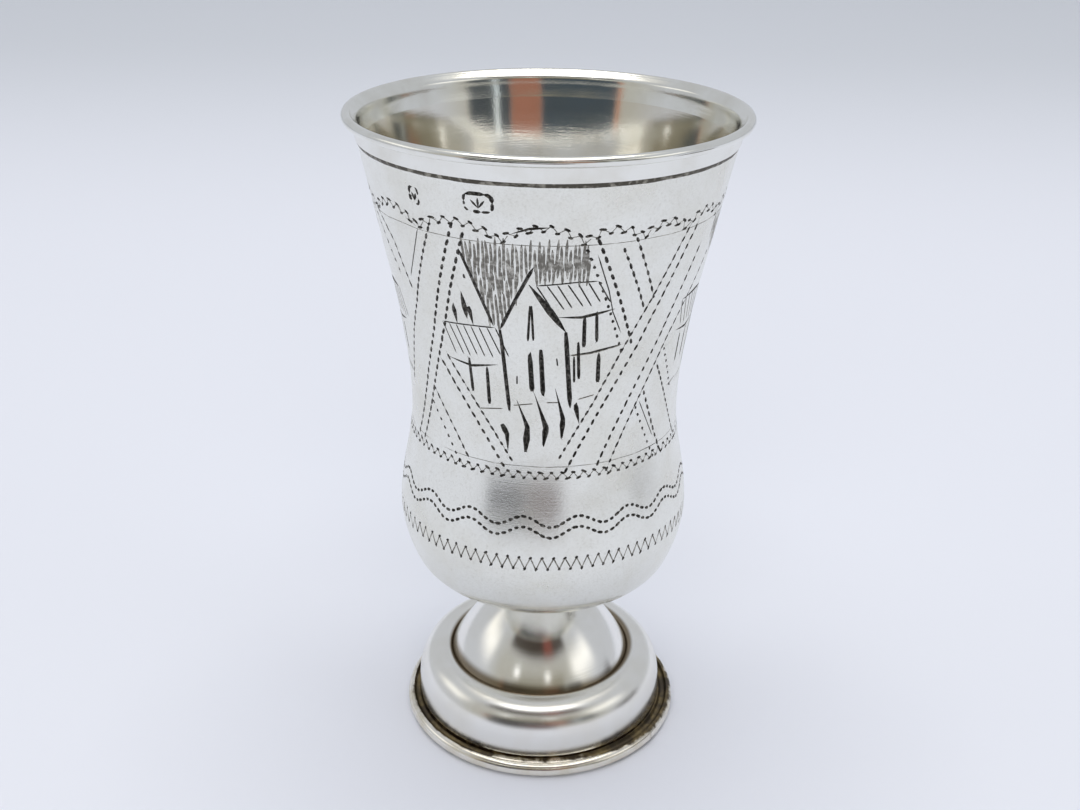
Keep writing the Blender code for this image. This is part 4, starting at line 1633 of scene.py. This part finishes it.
@dataclass
class Studio:
    """The plain pale floor, the soft room light and the camera at the photograph's angle."""

    camera_place: tuple[float, float, float] = (-0.000046, -0.1574779, 0.1190148)
    camera_pitch: float = 0.4344
    camera_yaw: float = -0.00321
    camera_roll: float = 0.01305
    focal_pixels: float = 1325.727
    image_width: float = 1080.0
    sensor: float = 36.0
    floor_half: float = 4.0
    floor_colour: str = "#E2E6F2"
    far_floor_colour: str = "#D0D5DF"
    floor_near: float = 0.18
    floor_far: float = 0.55
    room_colour: str = "#C9CCD2"
    room_strength: float = 0.97
    patches: tuple[RoomPatch, ...] = (
        # The white ceiling and the greyer wall on the camera's side.
        RoomPatch(0.0, 181.0, 82.0, 24.0, 7.0, "#F4F3F0", 1.08),
        RoomPatch(0.0, 66.0, 12.0, 30.0, 14.0, "#BCBBB4", 1.0),
        # A window on either side, and the olive table between them.
        RoomPatch(-92.0, 17.0, 27.0, 7.0, 7.0, "#FFFEFA", 1.3),
        RoomPatch(66.0, 18.0, 26.0, 7.0, 7.0, "#FFFEFA", 1.3),
        RoomPatch(0.0, 34.0, 21.5, 5.5, 5.0, "#8F8A78", 1.0),
        # What the back of the bowl's inside mirrors: slate, slate, red, a pale strip and a copper one.
        RoomPatch(39.0, 15.0, 12.5, 6.5, 3.0, "#4C5257", 1.0),
        RoomPatch(-20.0, 26.0, 12.5, 6.5, 3.0, "#465058", 1.0),
        RoomPatch(15.0, 10.0, 12.5, 6.5, 2.0, "#A0705E", 1.0),
        RoomPatch(34.5, 1.6, 12.5, 6.0, 1.5, "#DDE6EA", 1.1),
        RoomPatch(-47.0, 1.5, 12.5, 6.0, 1.0, "#B98B74", 1.1),
        # Two small lamps, the bright strip on the shoulder, and the dark block with its red stripe.
        RoomPatch(-31.0, 3.5, 28.5, 2.2, 1.5, "#FFFFFF", 2.0),
        RoomPatch(12.0, 3.5, 28.5, 2.2, 1.5, "#FFFFFF", 1.8),
        RoomPatch(0.0, 58.0, 67.0, 8.0, 5.0, "#FFFFFF", 2.3),
        RoomPatch(-3.0, 52.0, 48.5, 8.5, 3.0, "#3A3028", 1.0),
        RoomPatch(17.0, 8.0, 48.0, 7.5, 3.0, "#7C4034", 1.1),
    )
    cards: tuple[FloorCard, ...] = (
        FloorCard(-28.0, 17.0, 0.235, 0.085, "#170F09", 1.0, 0.25),
        FloorCard(0.0, 19.0, 0.235, 0.085, "#5C3F36", 1.0, 0.6),
        FloorCard(84.0, 17.0, 0.235, 0.05, "#6A6663"),
    )

    def build(self) -> None:
        """Make the floor, the world, the lights and the camera."""
        self.floor()
        for card in self.cards:
            card.stand()
        self.world()
        self.lights()
        self.camera()

    def floor(self) -> None:
        """Lay the pale paper floor, a little darker far away, as soft light falls off."""
        mesh = bpy.data.meshes.new("floor")
        side = self.floor_half
        corners = [(-side, -side, 0), (side, -side, 0), (side, side, 0), (-side, side, 0)]
        mesh.from_pydata(corners, [], [(0, 1, 2, 3)])
        material = bpy.data.materials.new("matt white paper")
        material.use_nodes = True
        tree = material.node_tree
        shader = tree.nodes["Principled BSDF"]
        place = add(tree, "ShaderNodeSeparateXYZ", {0: add(tree, "ShaderNodeTexCoord").outputs["Object"]})
        far = add(tree, "ShaderNodeMapRange", {
            "Value": place.outputs["Y"], "From Min": self.floor_near, "From Max": self.floor_far},
            interpolation_type="SMOOTHSTEP")
        colour = add(tree, "ShaderNodeMix", {
            0: far.outputs[0], 6: linear(self.floor_colour), 7: linear(self.far_floor_colour)},
            data_type="RGBA")
        tree.links.new(colour.outputs[2], shader.inputs["Base Color"])
        shader.inputs["Roughness"].default_value = 0.9
        shader.inputs["Specular IOR Level"].default_value = 0.1
        mesh.materials.append(material)
        floor = bpy.data.objects.new("floor", mesh)
        bpy.context.collection.objects.link(floor)

    def world(self) -> None:
        """Paint the room: an even white tent with soft darker and brighter patches."""
        world = bpy.data.worlds.new("studio")
        bpy.context.scene.world = world
        world.use_nodes = True
        tree = world.node_tree
        way = add(tree, "ShaderNodeSeparateXYZ", {0: add(tree, "ShaderNodeTexCoord").outputs["Generated"]})
        toward = add(tree, "ShaderNodeMath", {0: way.outputs["Y"], 1: -1.0}, operation="MULTIPLY")
        azimuth = add(tree, "ShaderNodeMath", {
            0: way.outputs["X"], 1: toward.outputs[0]}, operation="ARCTAN2")
        elevation = add(tree, "ShaderNodeMath", {0: way.outputs["Z"]}, operation="ARCSINE")
        colour = add(tree, "ShaderNodeRGB").outputs[0]
        colour.default_value = linear(self.room_colour)
        for patch in self.patches:
            masks = []
            for angle, centre, half in ((azimuth, patch.azimuth, patch.half_width),
                                        (elevation, patch.elevation, patch.half_height)):
                away = add(tree, "ShaderNodeMath", {
                    0: angle.outputs[0], 1: math.radians(centre)}, operation="SUBTRACT")
                distance = add(tree, "ShaderNodeMath", {0: away.outputs[0]}, operation="ABSOLUTE")
                masks.append(add(tree, "ShaderNodeMapRange", {
                    "Value": distance.outputs[0], "From Min": math.radians(half - patch.softness),
                    "From Max": math.radians(half + patch.softness), "To Min": 1.0, "To Max": 0.0},
                    interpolation_type="SMOOTHSTEP"))
            both = add(tree, "ShaderNodeMath", {
                0: masks[0].outputs[0], 1: masks[1].outputs[0]}, operation="MULTIPLY")
            glow = tuple(channel * patch.strength for channel in linear(patch.colour)[:3]) + (1.0,)
            mix = add(tree, "ShaderNodeMix", {0: both.outputs[0], 6: colour, 7: glow}, data_type="RGBA")
            colour = mix.outputs[2]
        tree.links.new(colour, tree.nodes["Background"].inputs["Color"])
        tree.nodes["Background"].inputs["Strength"].default_value = self.room_strength

    def lights(self) -> None:
        """Hang a large soft lamp over the cup, and a fill for the floor that the metal doesn't mirror."""
        self.lamp("overhead softbox", (0.8, 0.22), 2.4, (0.0, 0.12, 1.0), (0.0, 0.0, -1.0))
        fill = self.lamp("floor fill", (0.7, 0.5), 1.9, (0.0, -0.7, 0.6), (0.0, 0.75, -0.6))
        fill.visible_glossy = False

    def lamp(self, name: str, size: Point, power: float, place: tuple[float, float, float],
             aim: tuple[float, float, float]) -> bpy.types.Object:
        """Hang one rectangular lamp and return it."""
        light = bpy.data.lights.new(name, "AREA")
        light.shape = "RECTANGLE"
        light.size, light.size_y = size
        light.energy = power
        light.color = linear("#FFFBF2")[:3]
        holder = bpy.data.objects.new(name, light)
        holder.location = place
        holder.rotation_euler = Vector(aim).to_track_quat("-Z", "Y").to_euler()
        bpy.context.collection.objects.link(holder)
        return holder

    def camera(self) -> None:
        """Place the camera that was fitted to the photograph."""
        camera = bpy.data.cameras.new("camera")
        camera.sensor_width = self.sensor
        camera.lens = self.focal_pixels / self.image_width * self.sensor
        camera.clip_start = 0.01
        holder = bpy.data.objects.new("camera", camera)
        cos_pitch, sin_pitch = math.cos(self.camera_pitch), math.sin(self.camera_pitch)
        ahead = Vector((math.sin(self.camera_yaw) * cos_pitch, math.cos(self.camera_yaw) * cos_pitch,
                        -sin_pitch))
        level = Vector((math.cos(self.camera_yaw), -math.sin(self.camera_yaw), 0.0))
        upward = level.cross(ahead)
        right = math.cos(self.camera_roll) * level + math.sin(self.camera_roll) * upward
        up = -math.sin(self.camera_roll) * level + math.cos(self.camera_roll) * upward
        turn = Matrix((right, up, -ahead)).transposed()
        holder.matrix_world = Matrix.Translation(self.camera_place) @ turn.to_4x4()
        bpy.context.collection.objects.link(holder)
        bpy.context.scene.camera = holder
        bpy.context.scene.view_settings.view_transform = "Standard"


def main() -> None:
    """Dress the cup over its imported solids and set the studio."""
    logging.basicConfig(level=logging.INFO, format="%(name)s: %(message)s")
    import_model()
    random.seed(18)
    Studio().build()
    lathe = Lathe()
    satin = SilverFinish(
        "satin silver", "#EDEDE7", "#D9D6C8", cloud_share=0.5, cloud_size=9.0, roughness=0.25,
        roughness_spread=0.04, grain_depth=0.006, lathe_depth=0.005, pit_size=0.3, pit_share=0.22)
    inner = SilverFinish(
        "burnished silver inside", "#EEECE6", "#D3CDBD", cloud_share=0.6, cloud_size=12.0, roughness=0.1,
        roughness_spread=0.03)
    lip = SilverFinish(
        "bright drawn silver", "#EDEDE8", "#D6D2C6", cloud_share=0.5, cloud_size=6.0, roughness=0.13,
        roughness_spread=0.04, lathe_mark=0.3)
    # The foot's crease is painted brown, partly tarnish and partly painted shade.
    foot = CreasedSilver(
        "mirror polished silver", "#F1F0EC", "#E2DED2", cloud_share=0.5, cloud_size=8.0, roughness=0.16,
        roughness_spread=0.03, grain_depth=0.001)
    base = ChannelSilver(
        "yellowed silver", "#EEEAE1", "#CBBF9F", cloud_share=0.6, cloud_size=4.0, roughness=0.22,
        roughness_spread=0.05)
    rubbed = BlackenedCut(
        "rubbed engraving", "#7B7871", "#CCCAC2", streak=0.5, roughness=0.4, metallic=0.9)
    # Near-black solder for the lip and neck seams. Its dark also paints the shade under the lip band and
    # under the bowl.
    solder_and_painted_shade = SolderFinish("blackened solder and painted shade", "#57534B", "#9A968B", lump=0.8, metal_from=0.5)
    brown_solder = SolderFinish("brown tarnished solder", dark_colour="#2C2015", metal_colour="#6A5A3E")
    pieces = [
        (Bowl().build(satin.material(), BlackenedCut().material(), inner.material(), rubbed.material()),
         "bowl", Slot.SATIN),
        (LipRing().build(lathe, lip.material()), "lip_ring", Slot.LIP),
        (Foot().build(lathe, foot.material()), "foot", Slot.POLISHED),
        (BaseRing().build(lathe, base.material()), "base_ring", Slot.TARNISHED),
    ]
    for piece, node, slot in pieces:
        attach(piece, "root")
        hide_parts(node)
        LOG.info("%s: %d faces", piece.name, len(piece.data.polygons))
    for piece in SolderSeams().build(lathe, solder_and_painted_shade.material(), brown_solder.material()):
        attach(piece, "root")
        LOG.info("%s: %d faces", piece.name, len(piece.data.polygons))


if __name__ == "__main__":
    main()
